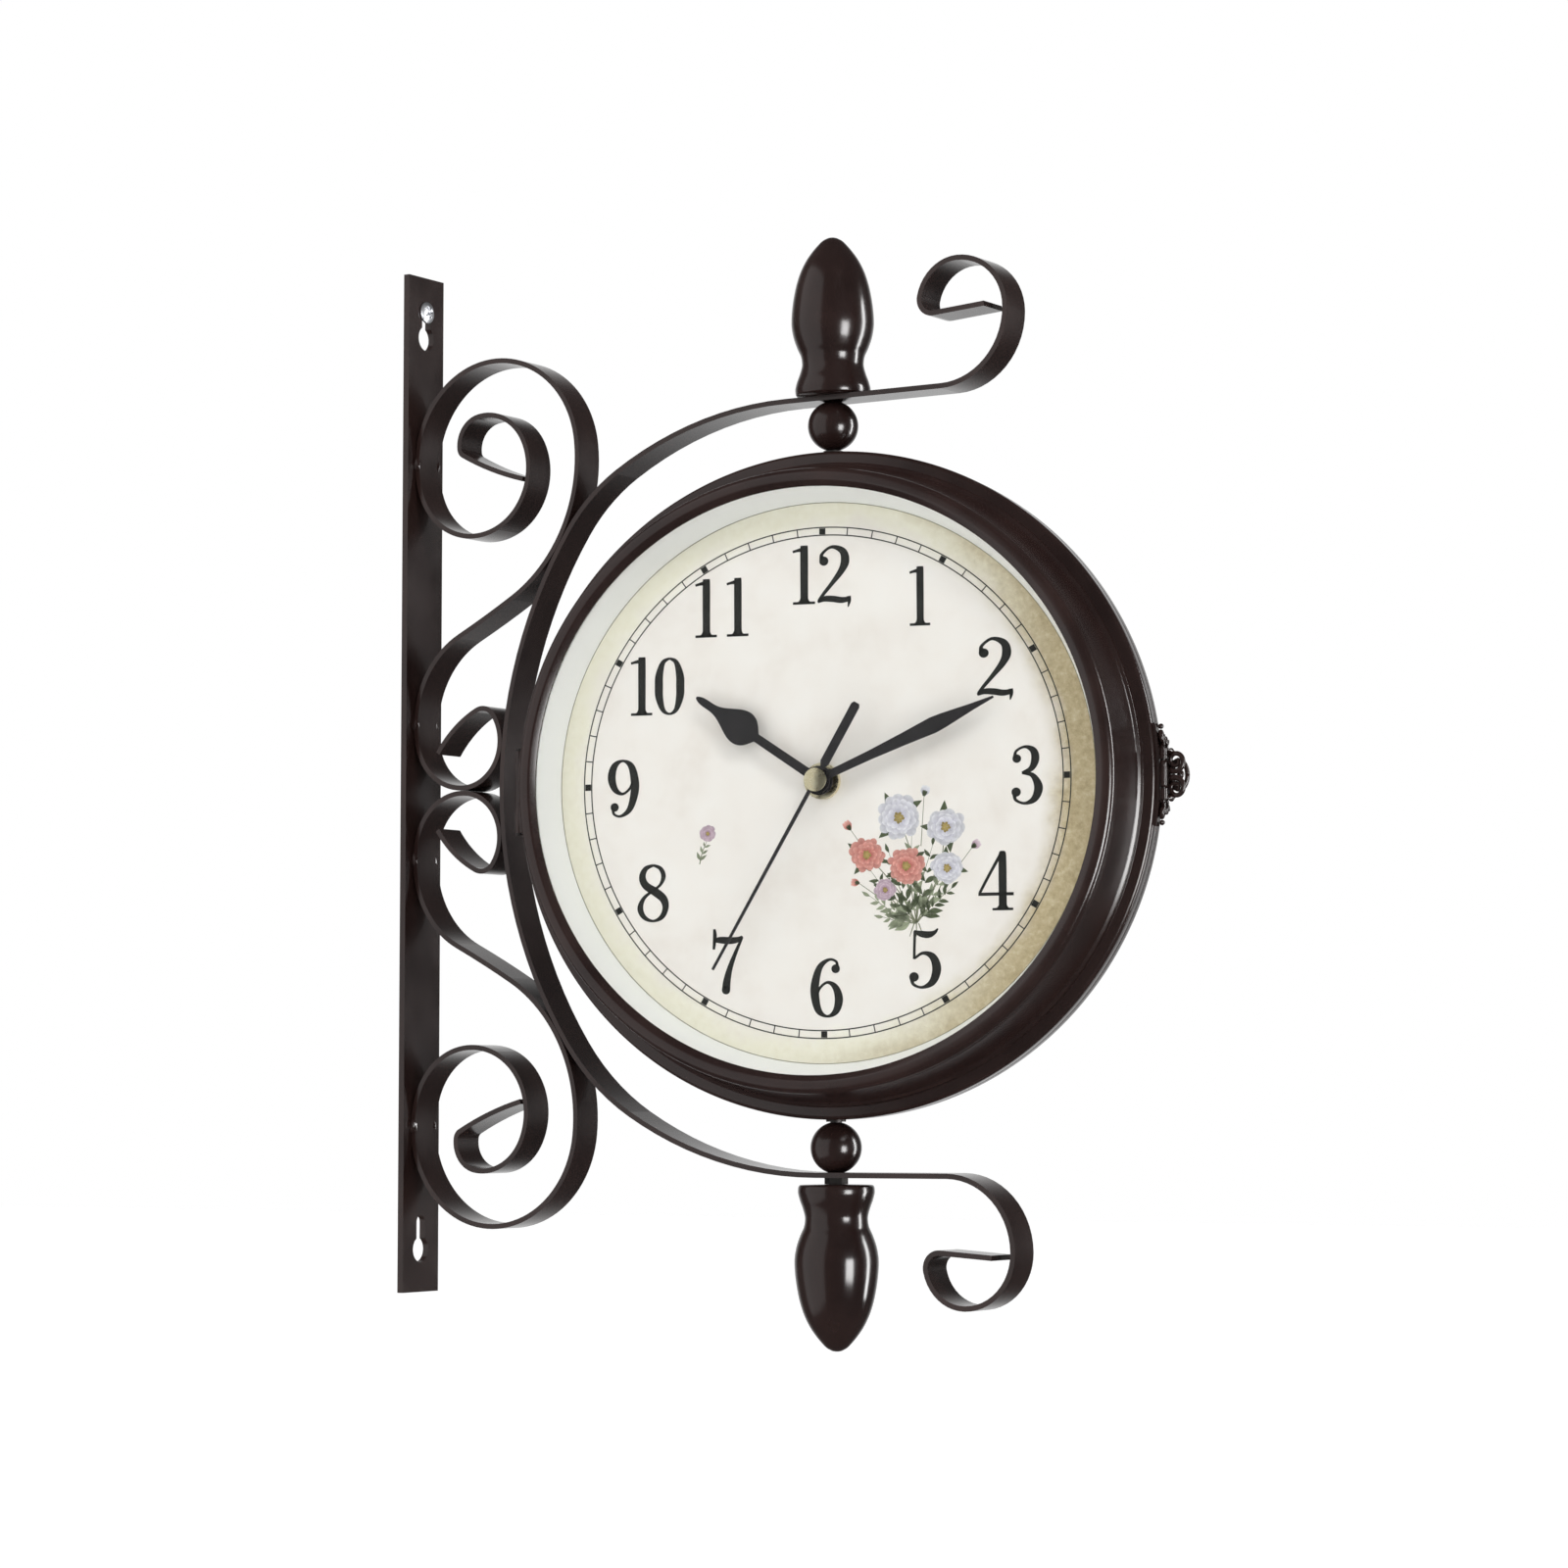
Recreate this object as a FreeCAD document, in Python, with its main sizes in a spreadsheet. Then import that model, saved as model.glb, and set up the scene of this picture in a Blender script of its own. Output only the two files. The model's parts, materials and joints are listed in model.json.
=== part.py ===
import FreeCAD, Part
import math
import os
import re
import Sketcher

# Double sided station clock on a scrolled wall bracket.
# Frame: origin at the centre of the wall plate's back face, +X out from the wall, +Z up,
# the front dial faces -Y. Lengths are in millimetres.
# "Depth" in the head is the distance from the seam plane out towards a dial.

os.makedirs("parts", exist_ok=True)
doc = FreeCAD.newDocument("station_clock")
sheet = doc.addObject("Spreadsheet::Sheet", "Dims")

V = FreeCAD.Vector
sizes = [
    # wall plate and its two keyholes (narrow slot above, round part below)
    ("plate_w", 21.2), ("plate_th", 2.4), ("plate_half", 186.0),
    ("key_end_top", 13.0), ("key_top", "plate_half - key_end_top"),
    ("key_end_low", 25.0), ("key_low", "key_end_low - plate_half"), ("key_step", 9.7),
    ("key_slot_r", 2.5), ("key_round_r", 4.6),
    # flat bar of the scrolls and the hoop
    ("strip_w", 12.8), ("strip_th", 1.8), ("weld_gap", 0.04), ("tail_heading", 165.3),
    # rim of the case, the balls above and below it, the hoop's straight bars
    ("rim_r", 115.2), ("ball_r", 8.8), ("ball_gap", 0.5), ("ball_mid", "rim_r + ball_gap + ball_r"),
    ("bar_gap", 0.6), ("bar_z", "ball_mid + ball_r + bar_gap"),
    # where the head's pivot axis is, and how far its middle hangs below the plate's middle;
    # the hoop's inmost point is worked out below from the scrolls that it leans on
    ("hoop_left", 40.0), ("rim_room", 20.6817), ("axis_x", "hoop_left + 0.5*strip_th + rim_room + rim_r"),
    ("drop", 9.0), ("rise", 3.4), ("head_turn", 13.4),
    # hoop: side bend, shoulder bend, top or bottom bend, straight run, end curl
    ("side_r", 160.0), ("side_turn", 35.0), ("shoulder_turn", 24.5),
    ("top_bend_r", 140.0), ("low_bend_r", 150.0), ("run_over", 47.0),
    ("curl_outer_r", 25.2), ("curl_top_r", 18.6), ("curl_side_r", 15.2), ("curl_in_r", 5.2),
    ("curl_tail", 20.0),
    # turned finials and balls
    ("finial_len", 56.5), ("rim_half", 12.7), ("foot_r", 13.1), ("neck_r", 10.8), ("bulb_r", 14.4),
    ("tip_r", 6.1),
    # pivot rods, nuts, washers, bushes
    ("rod_r", 2.0), ("rod_deep", 31.1), ("rod_out", "bar_z + rod_deep"), ("run_gap", 0.05),
    ("nut_th", 3.2), ("nut_flat", 7.0), ("jam_th", 2.2), ("washer_th", 0.8), ("washer_r", 4.1),
    ("sheet_th", 1.2), ("ring_gap", 0.4), ("ring_out", "rim_r - sheet_th - ring_gap"), ("ring_th", 1.2),
    ("ring_in", "ring_out - ring_th"), ("ring_half", 4.2),
    ("bush_r", 3.4), ("bush_flange_r", 4.1), ("bush_rise", 0.6), ("bush_top", "rim_r + bush_rise"),
    ("bush_seat", 0.2), ("bush_flange_top", "ring_in - bush_seat"), ("bush_flange_th", 1.15),
    ("bush_low", "bush_flange_top - bush_flange_th"), ("rod_spare", 2.5),
    ("rod_in", "bush_low - run_gap - washer_th - nut_th - rod_spare"),
    # case shells
    ("rim_half_w", 5.5), ("edge_cut", 0.7), ("flange_rise", 0.7),
    ("step_in", 5.3), ("step_r", "rim_r - step_in"), ("wall_in", 0.5), ("wall_r", "step_r - wall_in"),
    ("wall_foot", 7.0), ("crest_in", 3.0), ("crest_r", "wall_r - crest_in"), ("crest_d", 28.9),
    ("crest_round", 2.8), ("lip_w", 6.4), ("lip_r", "crest_r - lip_w"), ("lip_drop", 1.3),
    ("lip_d", "crest_d - lip_drop"), ("cove_r", 80.0), ("notch_gap", 0.3), ("notch_r", "bush_r + notch_gap"),
    # glass, white inner ring, dial
    ("glass_sink", 1.0), ("glass_out", "lip_d - glass_sink"), ("glass_th", 2.2), ("glass_gap", 0.6),
    ("glass_r", "crest_r - 1.5*sheet_th - glass_gap"),
    ("liner_lead", 0.8), ("liner_top_r", "lip_r + liner_lead"), ("liner_taper", 4.5),
    ("liner_low_r", "liner_top_r - liner_taper"), ("liner_wall", 1.1), ("liner_gap", 0.5),
    ("liner_flange_r", "crest_r - sheet_th - liner_gap"), ("foot_gap", 2.0),
    ("liner_foot_r", "wall_r - sheet_th - foot_gap"), ("liner_bead", 0.4),
    ("dial_out", 12.5), ("dial_th", 0.8), ("dial_r", "liner_foot_r"), ("bore_gap", 0.2),
    ("tab_th", 1.0), ("tab_w", 9.0), ("tab_over", 0.6), ("tab_out", "dial_r + tab_over"), ("tab_len", 6.8),
    ("tab_in", "tab_out - tab_len"),
    # movement
    ("gasket_th", 0.5), ("gasket_r", 9.0), ("box_w", 56.0), ("box_out", "dial_out - dial_th - gasket_th"),
    ("box_deep", 8.0), ("box_back", "box_out - box_deep"), ("bay_deep", 13.5),
    ("bay_back", "box_out - bay_deep"), ("roof_th", 1.0), ("wheel_room", "box_deep - roof_th"),
    ("lid_th", 1.0), ("lid_gap", 0.1), ("lid_ledge", 1.5), ("room_wall", 3.0), ("split_ledge", 0.7),
    ("split_wall", 1.6), ("collar_r", 3.9), ("collar_len", 5.0), ("collar_out", "box_out + collar_len"),
    ("dial_bore", "collar_r + bore_gap"), ("nut_r", 6.2), ("nut_d", 2.4),
    # wheels of the motion work, their depths below the movement's front wall
    ("wheel_r", 6.95), ("mesh_gap", 0.1), ("knob_x", "-2*wheel_r - mesh_gap"), ("wheel_th", 0.9),
    ("hour_wheel_r", 8.0), ("hour_wheel_in", 2.0), ("minute_wheel_in", 3.2), ("second_wheel_in", 4.2),
    ("second_wheel_r", 5.5), ("second_wheel_th", 0.7),
    # battery bay below the wheel room
    ("split_room", 2.2), ("bay_split", "-hour_wheel_r - split_room"), ("cell_r", 5.25), ("cell_gap", 0.15),
    ("cell_len", 44.5), ("cell_wall", 3.5), ("cell_z", "bay_split - cell_wall - cell_gap - cell_r"),
    ("box_low", "cell_z - cell_r - cell_gap - cell_wall"), ("cell_cover", 1.3),
    ("cell_d", "box_out - cell_cover - cell_gap - cell_r"), ("contact_th", 0.75), ("contact_half", 3.6),
    ("knob_r", 5.5), ("knob_th", 2.4), ("knob_lift", 0.1), ("knob_shaft_r", 1.0),
    # arbors and hands
    ("second_r", 0.78), ("staff_gap", 0.06), ("minute_bore_r", "second_r + staff_gap"),
    ("minute_r", 1.67), ("pipe_gap", 0.08), ("hour_bore_r", "minute_r + pipe_gap"), ("hour_pipe_r", 2.6),
    ("hand_th", 0.5), ("hour_rise", 4.5), ("hour_d", "dial_out + hour_rise"), ("hand_step", 2.0),
    ("minute_d", "hour_d + hand_step"), ("second_step", 1.9), ("second_d", "minute_d + second_step"),
    ("hour_stub", 0.6), ("minute_stub", 0.5), ("hour_hub_r", 5.0), ("minute_hub_r", 4.6),
    ("second_hub_r", 3.4), ("tail_start", 6.0), ("tail_half_w", 1.6),
    ("hour_len", 53.5), ("minute_len", 68.0), ("second_len", 74.0), ("tail_len", 29.8),
    ("hour_turn", 303.9), ("minute_turn", 67.0), ("second_turn", 210.0), ("cap_r", 4.0), ("cap_th", 1.1),
    # hinge on the left, hasp on the right
    ("hinge_out", 1.8), ("hinge_x", "rim_r + hinge_out"), ("knuckle_r", 1.6), ("pin_r", 0.8),
    ("hinge_half", 14.5), ("knuckle_mid", 4.9), ("pin_head_r", 1.5), ("pin_head_th", 0.7),
    ("leaf_th", 0.8), ("leaf_gap", 1.75),
    ("hasp_out", 2.45), ("hasp_x", "rim_r + hasp_out"), ("hasp_d", 5.0), ("hasp_knuckle_r", 1.3),
    ("hasp_pin_r", 0.6), ("hasp_eye_half", 4.8), ("hasp_eye_gap", 0.2), ("hasp_eye_w", 3.6),
    ("latch_half", 18.0), ("latch_leaf", 1.0), ("latch_split", 0.5), ("latch_bite_r", 2.2),
    ("hasp_half", 9.0), ("hasp_th", 1.0), ("hasp_reach", 6.4), ("hasp_rest", 0.25),
    ("knob_len", 7.05), ("bulge_half_w", 4.6), ("bulge_half_h", 8.2), ("bulge_y", 1.2),
]
cells = {}
for row, (alias, value) in enumerate(sizes, start=1):
    cells[alias] = "B%d" % row
    sheet.set("A%d" % row, alias)
    sheet.set(cells[alias], "=" + value if isinstance(value, str) else repr(value))
    sheet.setAlias(cells[alias], alias)

# scroll bar, from the inner tail of the large spiral to the tail of the small one:
# tangent arcs, radius and turn in degrees (minus is clockwise seen from the front)
scroll_bends = [
    (118.0, -14.0), (3.2, -54.0), (10.2, -86.6), (18.7, -74.3), (23.2, -91.7), (25.4, -94.7),
    (35.0, -100.3), (36.2, -93.5), (56.6, -66.2), (440.0, -3.5), (34.9, 77.7), (20.5, 79.2),
    (16.5, 121.7), (6.0, 80.9), (43.4, 30.3),
]
first_bend_row = len(sizes) + 2
for step, (radius, turn) in enumerate(scroll_bends):
    row = first_bend_row + step
    sheet.set("A%d" % row, "scroll bend %d" % (step + 1))
    sheet.set("B%d" % row, repr(radius))
    sheet.set("C%d" % row, repr(turn))
    sheet.setAlias("B%d" % row, "bend_radius_%02d" % (step + 1))
    sheet.setAlias("C%d" % row, "bend_turn_%02d" % (step + 1))
doc.recompute()


def size(name):
    """Number in the sheet's cell of that name."""
    return float(sheet.get(name))


def number(text):
    """Value of a sum of terms such as 'rim_r - 0.5*strip_th'."""
    total = 0.0
    for term in str(text).replace(" ", "").replace("-", "+-").split("+"):
        if not term:
            continue
        value = 1.0
        if term[0] == "-":
            value = -1.0
            term = term[1:]
        for factor in term.split("*"):
            value *= float(factor) if re.match(r"^[0-9.]+$", factor) else size(factor)
        total += value
    return total


def bound(text):
    """The same sum written with the sheet's name in front of each alias."""
    return re.sub(r"([A-Za-z_][A-Za-z_0-9]*)", r"Dims.\1", str(text))


def bind(target, prop, text):
    """Set a size and tie it to the sheet."""
    target.setExpression(prop, bound(text))


def plane(body, role):
    """Origin plane or axis of a body, found by its role."""
    for feature in body.Origin.OriginFeatures:
        if feature.Role == role:
            return feature
    raise ValueError(role)


def new_body(label):
    """Empty body that becomes one piece of the clock."""
    body = doc.addObject("PartDesign::Body", label)
    body.Label = label
    return body


def new_sketch(body, role, offset="0"):
    """Sketch on one of the body's own origin planes, moved along its normal."""
    sketch = body.newObject("Sketcher::SketchObject", body.Name + "_sketch")
    sketch.AttachmentSupport = [(plane(body, role), "")]
    sketch.MapMode = "FlatFace"
    if offset != "0":
        bind(sketch, "AttachmentOffset.Base.z", offset)
    return sketch


def pin_point(sketch, index, which, x_text, y_text, rules):
    """Rules that hold one end point at its place, each tied to the sheet."""
    for kind, text, axis in (("DistanceX", x_text, -2), ("DistanceY", y_text, -1)):
        if abs(number(text)) < 1e-9:
            rules.append((Sketcher.Constraint("PointOnObject", index, which, axis), None))
        else:
            rules.append((Sketcher.Constraint(kind, -1, 1, index, which, number(text)), text))


def outline(sketch, corners):
    """Closed outline. A corner is (x, y) or (x, y, radius): the radius bends the edge that
    leaves the corner, plus with its centre on the left of travel, minus on the right."""
    count = len(corners)
    spots = [V(number(c[0]), number(c[1]), 0) for c in corners]
    ends = []
    for k in range(count):
        a = spots[k]
        b = spots[(k + 1) % count]
        if len(corners[k]) == 2:
            index = sketch.addGeometry(Part.LineSegment(a, b), False)
            ends.append((index, 1, 2))
            continue
        radius = corners[k][2]
        chord = b - a
        half = chord.Length / 2
        side = 1.0 if radius > 0 else -1.0
        away = math.sqrt(max(radius * radius - half * half, 0.0))
        normal = V(-chord.y, chord.x, 0)
        normal.normalize()
        centre = (a + b) * 0.5 + normal * (away * side)
        start = math.atan2(a.y - centre.y, a.x - centre.x)
        stop = math.atan2(b.y - centre.y, b.x - centre.x)
        circle = Part.Circle(centre, V(0, 0, 1), abs(radius))
        if side > 0:
            index = sketch.addGeometry(Part.ArcOfCircle(circle, start, stop), False)
            ends.append((index, 1, 2))
        else:
            index = sketch.addGeometry(Part.ArcOfCircle(circle, stop, start), False)
            ends.append((index, 2, 1))
    joins = []
    for k in range(count):
        here = ends[k]
        after = ends[(k + 1) % count]
        joins.append(Sketcher.Constraint("Coincident", here[0], here[2], after[0], after[1]))
    sketch.addConstraint(joins)
    rules = []
    for k in range(count):
        pin_point(sketch, ends[k][0], ends[k][1], corners[k][0], corners[k][1], rules)
        if len(corners[k]) == 3:
            rules.append((Sketcher.Constraint("Radius", ends[k][0], abs(corners[k][2])), None))
    for rule, text in rules:
        index = sketch.addConstraint(rule)
        if text is not None:
            bind(sketch, "Constraints[%d]" % index, text)


def ring(sketch, x_text, y_text, radius_text):
    """Circle with its centre and radius tied to the sheet."""
    circle = Part.Circle(V(number(x_text), number(y_text), 0), V(0, 0, 1), number(radius_text))
    index = sketch.addGeometry(circle, False)
    rules = []
    pin_point(sketch, index, 3, x_text, y_text, rules)
    rules.append((Sketcher.Constraint("Radius", index, number(radius_text)), radius_text))
    for rule, text in rules:
        spot = sketch.addConstraint(rule)
        if text is not None:
            bind(sketch, "Constraints[%d]" % spot, text)


def box_outline(sketch, left, low, right, high):
    """Upright rectangle."""
    outline(sketch, [(left, low), (right, low), (right, high), (left, high)])


def pad(body, sketch, length, both=False):
    """Raise a sketch along its normal, or half to each side."""
    feature = body.newObject("PartDesign::Pad", body.Name + "_pad")
    feature.Profile = sketch
    if both:
        feature.SideType = "Symmetric"
    bind(feature, "Length", length)
    return feature


def pocket(body, sketch, length, back=False, both=False):
    """Cut a sketch into the body; it cuts against the sketch's normal unless back is set."""
    feature = body.newObject("PartDesign::Pocket", body.Name + "_pocket")
    feature.Profile = sketch
    if both:
        feature.SideType = "Symmetric"
    feature.Reversed = back
    bind(feature, "Length", length)
    return feature


def turn(body, sketch, cut=False):
    """Turn a sketch about its own upright axis."""
    kind = "PartDesign::Groove" if cut else "PartDesign::Revolution"
    feature = body.newObject(kind, body.Name + "_turn")
    feature.Profile = sketch
    feature.ReferenceAxis = (sketch, ["V_Axis"])
    feature.Angle = 360
    return feature


clock_z = -size("drop")
front_turn = FreeCAD.Rotation(V(0, 0, 1), size("head_turn"))
rear_turn = FreeCAD.Rotation(V(0, 0, 1), size("head_turn") + 180)
flip_turn = front_turn.multiply(FreeCAD.Rotation(V(1, 0, 0), 180))


def in_head(piece, rotation, spin=0.0):
    """Put a piece that was drawn about the head's middle into the turned head."""
    turned = rotation.multiply(FreeCAD.Rotation(V(0, 1, 0), spin))
    piece.Placement = FreeCAD.Placement(V(size("axis_x"), 0, clock_z), turned)
    if piece.isDerivedFrom("PartDesign::Body"):
        bind(piece, "Placement.Base.x", "axis_x")
        bind(piece, "Placement.Base.z", "-drop")
    return piece


nodes = []


def keep(piece):
    """Note a finished piece for export."""
    nodes.append(piece)
    return piece


def keep_shape(label, shape, rotation=None):
    """Finished piece whose shape was made directly, such as a set of equal fasteners."""
    piece = doc.addObject("Part::Feature", label)
    piece.Label = label
    piece.Shape = shape
    if rotation is not None:
        middle = FreeCAD.Placement(V(size("axis_x"), 0, clock_z), rotation)
        piece.Placement = middle.multiply(shape.Placement)
    nodes.append(piece)
    return piece


# ---------------------------------------------------------------- wall plate
plate = new_body("wall_plate")
flat = new_sketch(plate, "YZ_Plane")
box_outline(flat, "-0.5*plate_w", "-plate_half", "0.5*plate_w", "plate_half")
pad(plate, flat, "plate_th")
for end in ("key_top", "key_low"):
    low = end + " - key_step"
    slot = new_sketch(plate, "YZ_Plane")
    box_outline(slot, "-key_slot_r", low, "key_slot_r", end)
    pocket(plate, slot, "2*plate_th", both=True)
    for height, radius in ((end, "key_slot_r"), (low, "key_round_r")):
        hole = new_sketch(plate, "YZ_Plane")
        ring(hole, "0", height, radius)
        pocket(plate, hole, "2*plate_th", both=True)
keep(plate)


# ---------------------------------------------------------------- bent flat bars
def bend_path(x, z, heading, bends):
    """Tangent arcs and lines: each bend is (radius, turn) or (None, length)."""
    runs = []
    for radius, turned in bends:
        if radius is None:
            x2 = x + turned * math.cos(heading)
            z2 = z + turned * math.sin(heading)
            runs.append(("line", x, z, x2, z2, heading))
            x, z = x2, z2
            continue
        side = 1.0 if turned > 0 else -1.0
        swing = math.radians(abs(turned))
        cx = x - side * radius * math.sin(heading)
        cz = z + side * radius * math.cos(heading)
        start = heading - side * math.pi / 2
        runs.append(("arc", cx, cz, radius, start, side, swing))
        heading += side * swing
        x = cx + radius * math.cos(start + side * swing)
        z = cz + radius * math.sin(start + side * swing)
    return runs, (x, z, heading)


def bar_edge(run, offset, backwards):
    """One long edge of the bar beside a run, as a curve in the sketch plane."""
    if run[0] == "line":
        heading = run[5]
        shift = V(-math.sin(heading) * offset, math.cos(heading) * offset, 0)
        a = V(run[1], run[2], 0) + shift
        b = V(run[3], run[4], 0) + shift
        return (b, a) if backwards else (a, b)
    cx, cz, radius, start, side, swing = run[1:]
    beside = radius - side * offset
    spots = []
    for part_way in (0.0, 0.5, 1.0):
        angle = start + side * swing * part_way
        spots.append(V(cx + beside * math.cos(angle), cz + beside * math.sin(angle), 0))
    return tuple(reversed(spots)) if backwards else tuple(spots)


def bar_outline(sketch, runs, thickness):
    """Closed outline of a flat bar that follows the runs."""
    half = thickness / 2
    edges = [bar_edge(run, half, False) for run in runs]
    returning = [bar_edge(run, -half, True) for run in reversed(runs)]
    chain = edges + [(edges[-1][-1], returning[0][0])] + returning + [(returning[-1][-1], edges[0][0])]
    for spots in chain:
        if len(spots) == 2:
            sketch.addGeometry(Part.LineSegment(spots[0], spots[1]), False)
        else:
            sketch.addGeometry(Part.Arc(spots[0], spots[1], spots[2]), False)


def path_spots(runs, per_run=24):
    """Points along the middle of a bent bar."""
    spots = []
    for run in runs:
        if run[0] == "line":
            spots += [(run[1], run[2]), (run[3], run[4])]
            continue
        cx, cz, radius, start, side, swing = run[1:]
        for k in range(per_run + 1):
            angle = start + side * swing * k / per_run
            spots.append((cx + radius * math.cos(angle), cz + radius * math.sin(angle)))
    return spots


bends = []
for step in range(len(scroll_bends)):
    bends.append((size("bend_radius_%02d" % (step + 1)), size("bend_turn_%02d" % (step + 1))))
rough, last = bend_path(0.0, 0.0, math.radians(size("tail_heading")), bends)
rough_spots = path_spots(rough)
half_th = size("strip_th") / 2
# the large spiral leans on the plate, the foot of the small one on its mirror image
shift_x = size("plate_th") + half_th + size("weld_gap") - min(x for x, z in rough_spots)
small_spots = path_spots(rough[10:])
shift_z = half_th + size("weld_gap") - min(z for x, z in small_spots)
scroll_runs, last = bend_path(shift_x, shift_z, math.radians(size("tail_heading")), bends)

# hoop: its side lies against the large and the small spirals of both scrolls
side_r = size("side_r")
side_turn = math.radians(size("side_turn"))
shoulder_end = side_turn + math.radians(size("shoulder_turn"))
reach = side_r + size("strip_th") + size("weld_gap")
beside = [(x, z) for x, z in path_spots(scroll_runs, 96) if abs(z) < side_r * math.sin(side_turn)]
hoop_left = max(x + math.sqrt(reach ** 2 - z ** 2) for x, z in beside) - side_r
sheet.set(cells["hoop_left"], repr(hoop_left))
doc.recompute()
bar_z = size("bar_z")
rise = size("rise")


def half_hoop(height, end_bend_r):
    """Runs from the middle of the hoop's side up to the straight bar and round its end curl."""
    left_over = height - side_r * math.sin(side_turn) - end_bend_r * (1 - math.sin(shoulder_end))
    shoulder_r = left_over / (math.sin(shoulder_end) - math.sin(side_turn))
    straight_from = (
        hoop_left
        + side_r * (1 - math.cos(side_turn))
        + shoulder_r * (math.cos(side_turn) - math.cos(shoulder_end))
        + end_bend_r * math.cos(shoulder_end)
    )
    steps = [
        (side_r, -size("side_turn")),
        (shoulder_r, -size("shoulder_turn")),
        (end_bend_r, -(90.0 - size("side_turn") - size("shoulder_turn"))),
        (None, size("axis_x") + size("run_over") - straight_from),
        (size("curl_outer_r"), 90.0),
        (size("curl_top_r"), 90.0),
        (size("curl_side_r"), 78.0),
        (size("curl_in_r"), 106.0),
        (None, size("curl_tail")),
    ]
    return bend_path(hoop_left, 0.0, math.pi / 2, steps)[0]


def mirrored(runs):
    """The same runs upside down, in travel order from their far end."""
    flipped = []
    for run in reversed(runs):
        if run[0] == "line":
            flipped.append(("line", run[3], -run[4], run[1], -run[2], math.pi - run[5]))
        else:
            cx, cz, radius, start, side, swing = run[1:]
            end = -(start + side * swing)
            flipped.append(("arc", cx, -cz, radius, end, side, swing))
    return flipped


lower_half = mirrored(half_hoop(bar_z + rise, size("low_bend_r")))
hoop_runs = lower_half + half_hoop(bar_z - rise, size("top_bend_r"))


def bar_body(label, runs, base_z):
    """Flat bar bent on edge: its width lies along Y."""
    body = new_body(label)
    sketch = new_sketch(body, "XZ_Plane")
    bar_outline(sketch, runs, size("strip_th"))
    pad(body, sketch, "strip_w", both=True)
    body.Placement.Base = V(0, 0, base_z)
    return body


hoop = bar_body("hoop_bar", hoop_runs, clock_z + rise)
bind(hoop, "Placement.Base.z", "rise - drop")
drill = new_sketch(hoop, "XY_Plane", "-bar_z - rise - strip_th")
ring(drill, "axis_x", "0", "rod_r + run_gap")
bore = pocket(hoop, drill, "2*bar_z + 2*strip_th", back=True)
keep(hoop)
doc.recompute()

scroll_z = clock_z + rise
for label, upside in (("upper_scroll", False), ("lower_scroll", True)):
    runs = mirrored(scroll_runs) if upside else scroll_runs
    keep(bar_body(label, runs, scroll_z))

# ---------------------------------------------------------------- finials, balls, rods
def finial(label, upside, foot):
    """Turned bullet finial with a flared foot, bored for the rod."""
    body = new_body(label)
    sketch = new_sketch(body, "XZ_Plane")
    tall = size("finial_len")
    bulb_r = size("bulb_r")
    spots = [
        (size("rim_half"), 0.0), (size("foot_r"), 0.03 * tall), (size("neck_r"), 0.2 * tall),
        (0.945 * bulb_r, 0.365 * tall), (bulb_r, 0.48 * tall), (0.955 * bulb_r, 0.61 * tall),
        (0.79 * bulb_r, 0.775 * tall), (size("tip_r"), 0.925 * tall), (0.001, tall),
    ]
    curve = Part.BSplineCurve()
    curve.interpolate([V(r, z, 0) for r, z in spots])
    bore_r = size("rod_r")
    deep = size("rod_out") - foot
    sketch.addGeometry(curve, False)
    turns = [
        V(0.001, tall, 0), V(0.0, tall, 0), V(0.0, deep, 0), V(bore_r, deep, 0), V(bore_r, 0, 0),
        V(size("rim_half"), 0, 0),
    ]
    for a, b in zip(turns[:-1], turns[1:]):
        sketch.addGeometry(Part.LineSegment(a, b), False)
    turn(body, sketch)
    if upside:
        body.Placement = FreeCAD.Placement(
            V(size("axis_x"), 0, clock_z - foot), FreeCAD.Rotation(V(1, 0, 0), 180))
    else:
        body.Placement.Base = V(size("axis_x"), 0, clock_z + foot)
    keep(body)


bar_face = size("bar_z") + half_th
finial("upper_finial", False, bar_face)
finial("lower_finial", True, bar_face + size("jam_th"))

for label, sign in (("upper_ball", 1.0), ("lower_ball", -1.0)):
    body = new_body(label)
    sketch = new_sketch(body, "XZ_Plane")
    inner = size("bush_top") + size("run_gap") - size("ball_mid")
    outer = size("bar_z") - half_th - size("ball_mid")
    ball_r = size("ball_r")
    rod_r = size("rod_r")
    low_z = max(inner, -math.sqrt(ball_r ** 2 - (rod_r + 0.8) ** 2))
    low_r = math.sqrt(ball_r ** 2 - low_z ** 2)
    high_z = min(outer, math.sqrt(ball_r ** 2 - (rod_r + 0.8) ** 2))
    high_r = math.sqrt(ball_r ** 2 - high_z ** 2)
    sketch.addGeometry(Part.Arc(V(low_r, low_z, 0), V(ball_r, 0, 0), V(high_r, high_z, 0)), False)
    stops = [V(high_r, high_z, 0), V(high_r, outer, 0), V(rod_r, outer, 0), V(rod_r, inner, 0),
             V(low_r, inner, 0), V(low_r, low_z, 0)]
    for a, b in zip(stops[:-1], stops[1:]):
        if (b - a).Length > 1e-6:
            sketch.addGeometry(Part.LineSegment(a, b), False)
    turn(body, sketch)
    if sign > 0:
        body.Placement.Base = V(size("axis_x"), 0, clock_z + size("ball_mid"))
    else:
        body.Placement = FreeCAD.Placement(
            V(size("axis_x"), 0, clock_z - size("ball_mid")), FreeCAD.Rotation(V(1, 0, 0), 180))
    keep(body)

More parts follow.
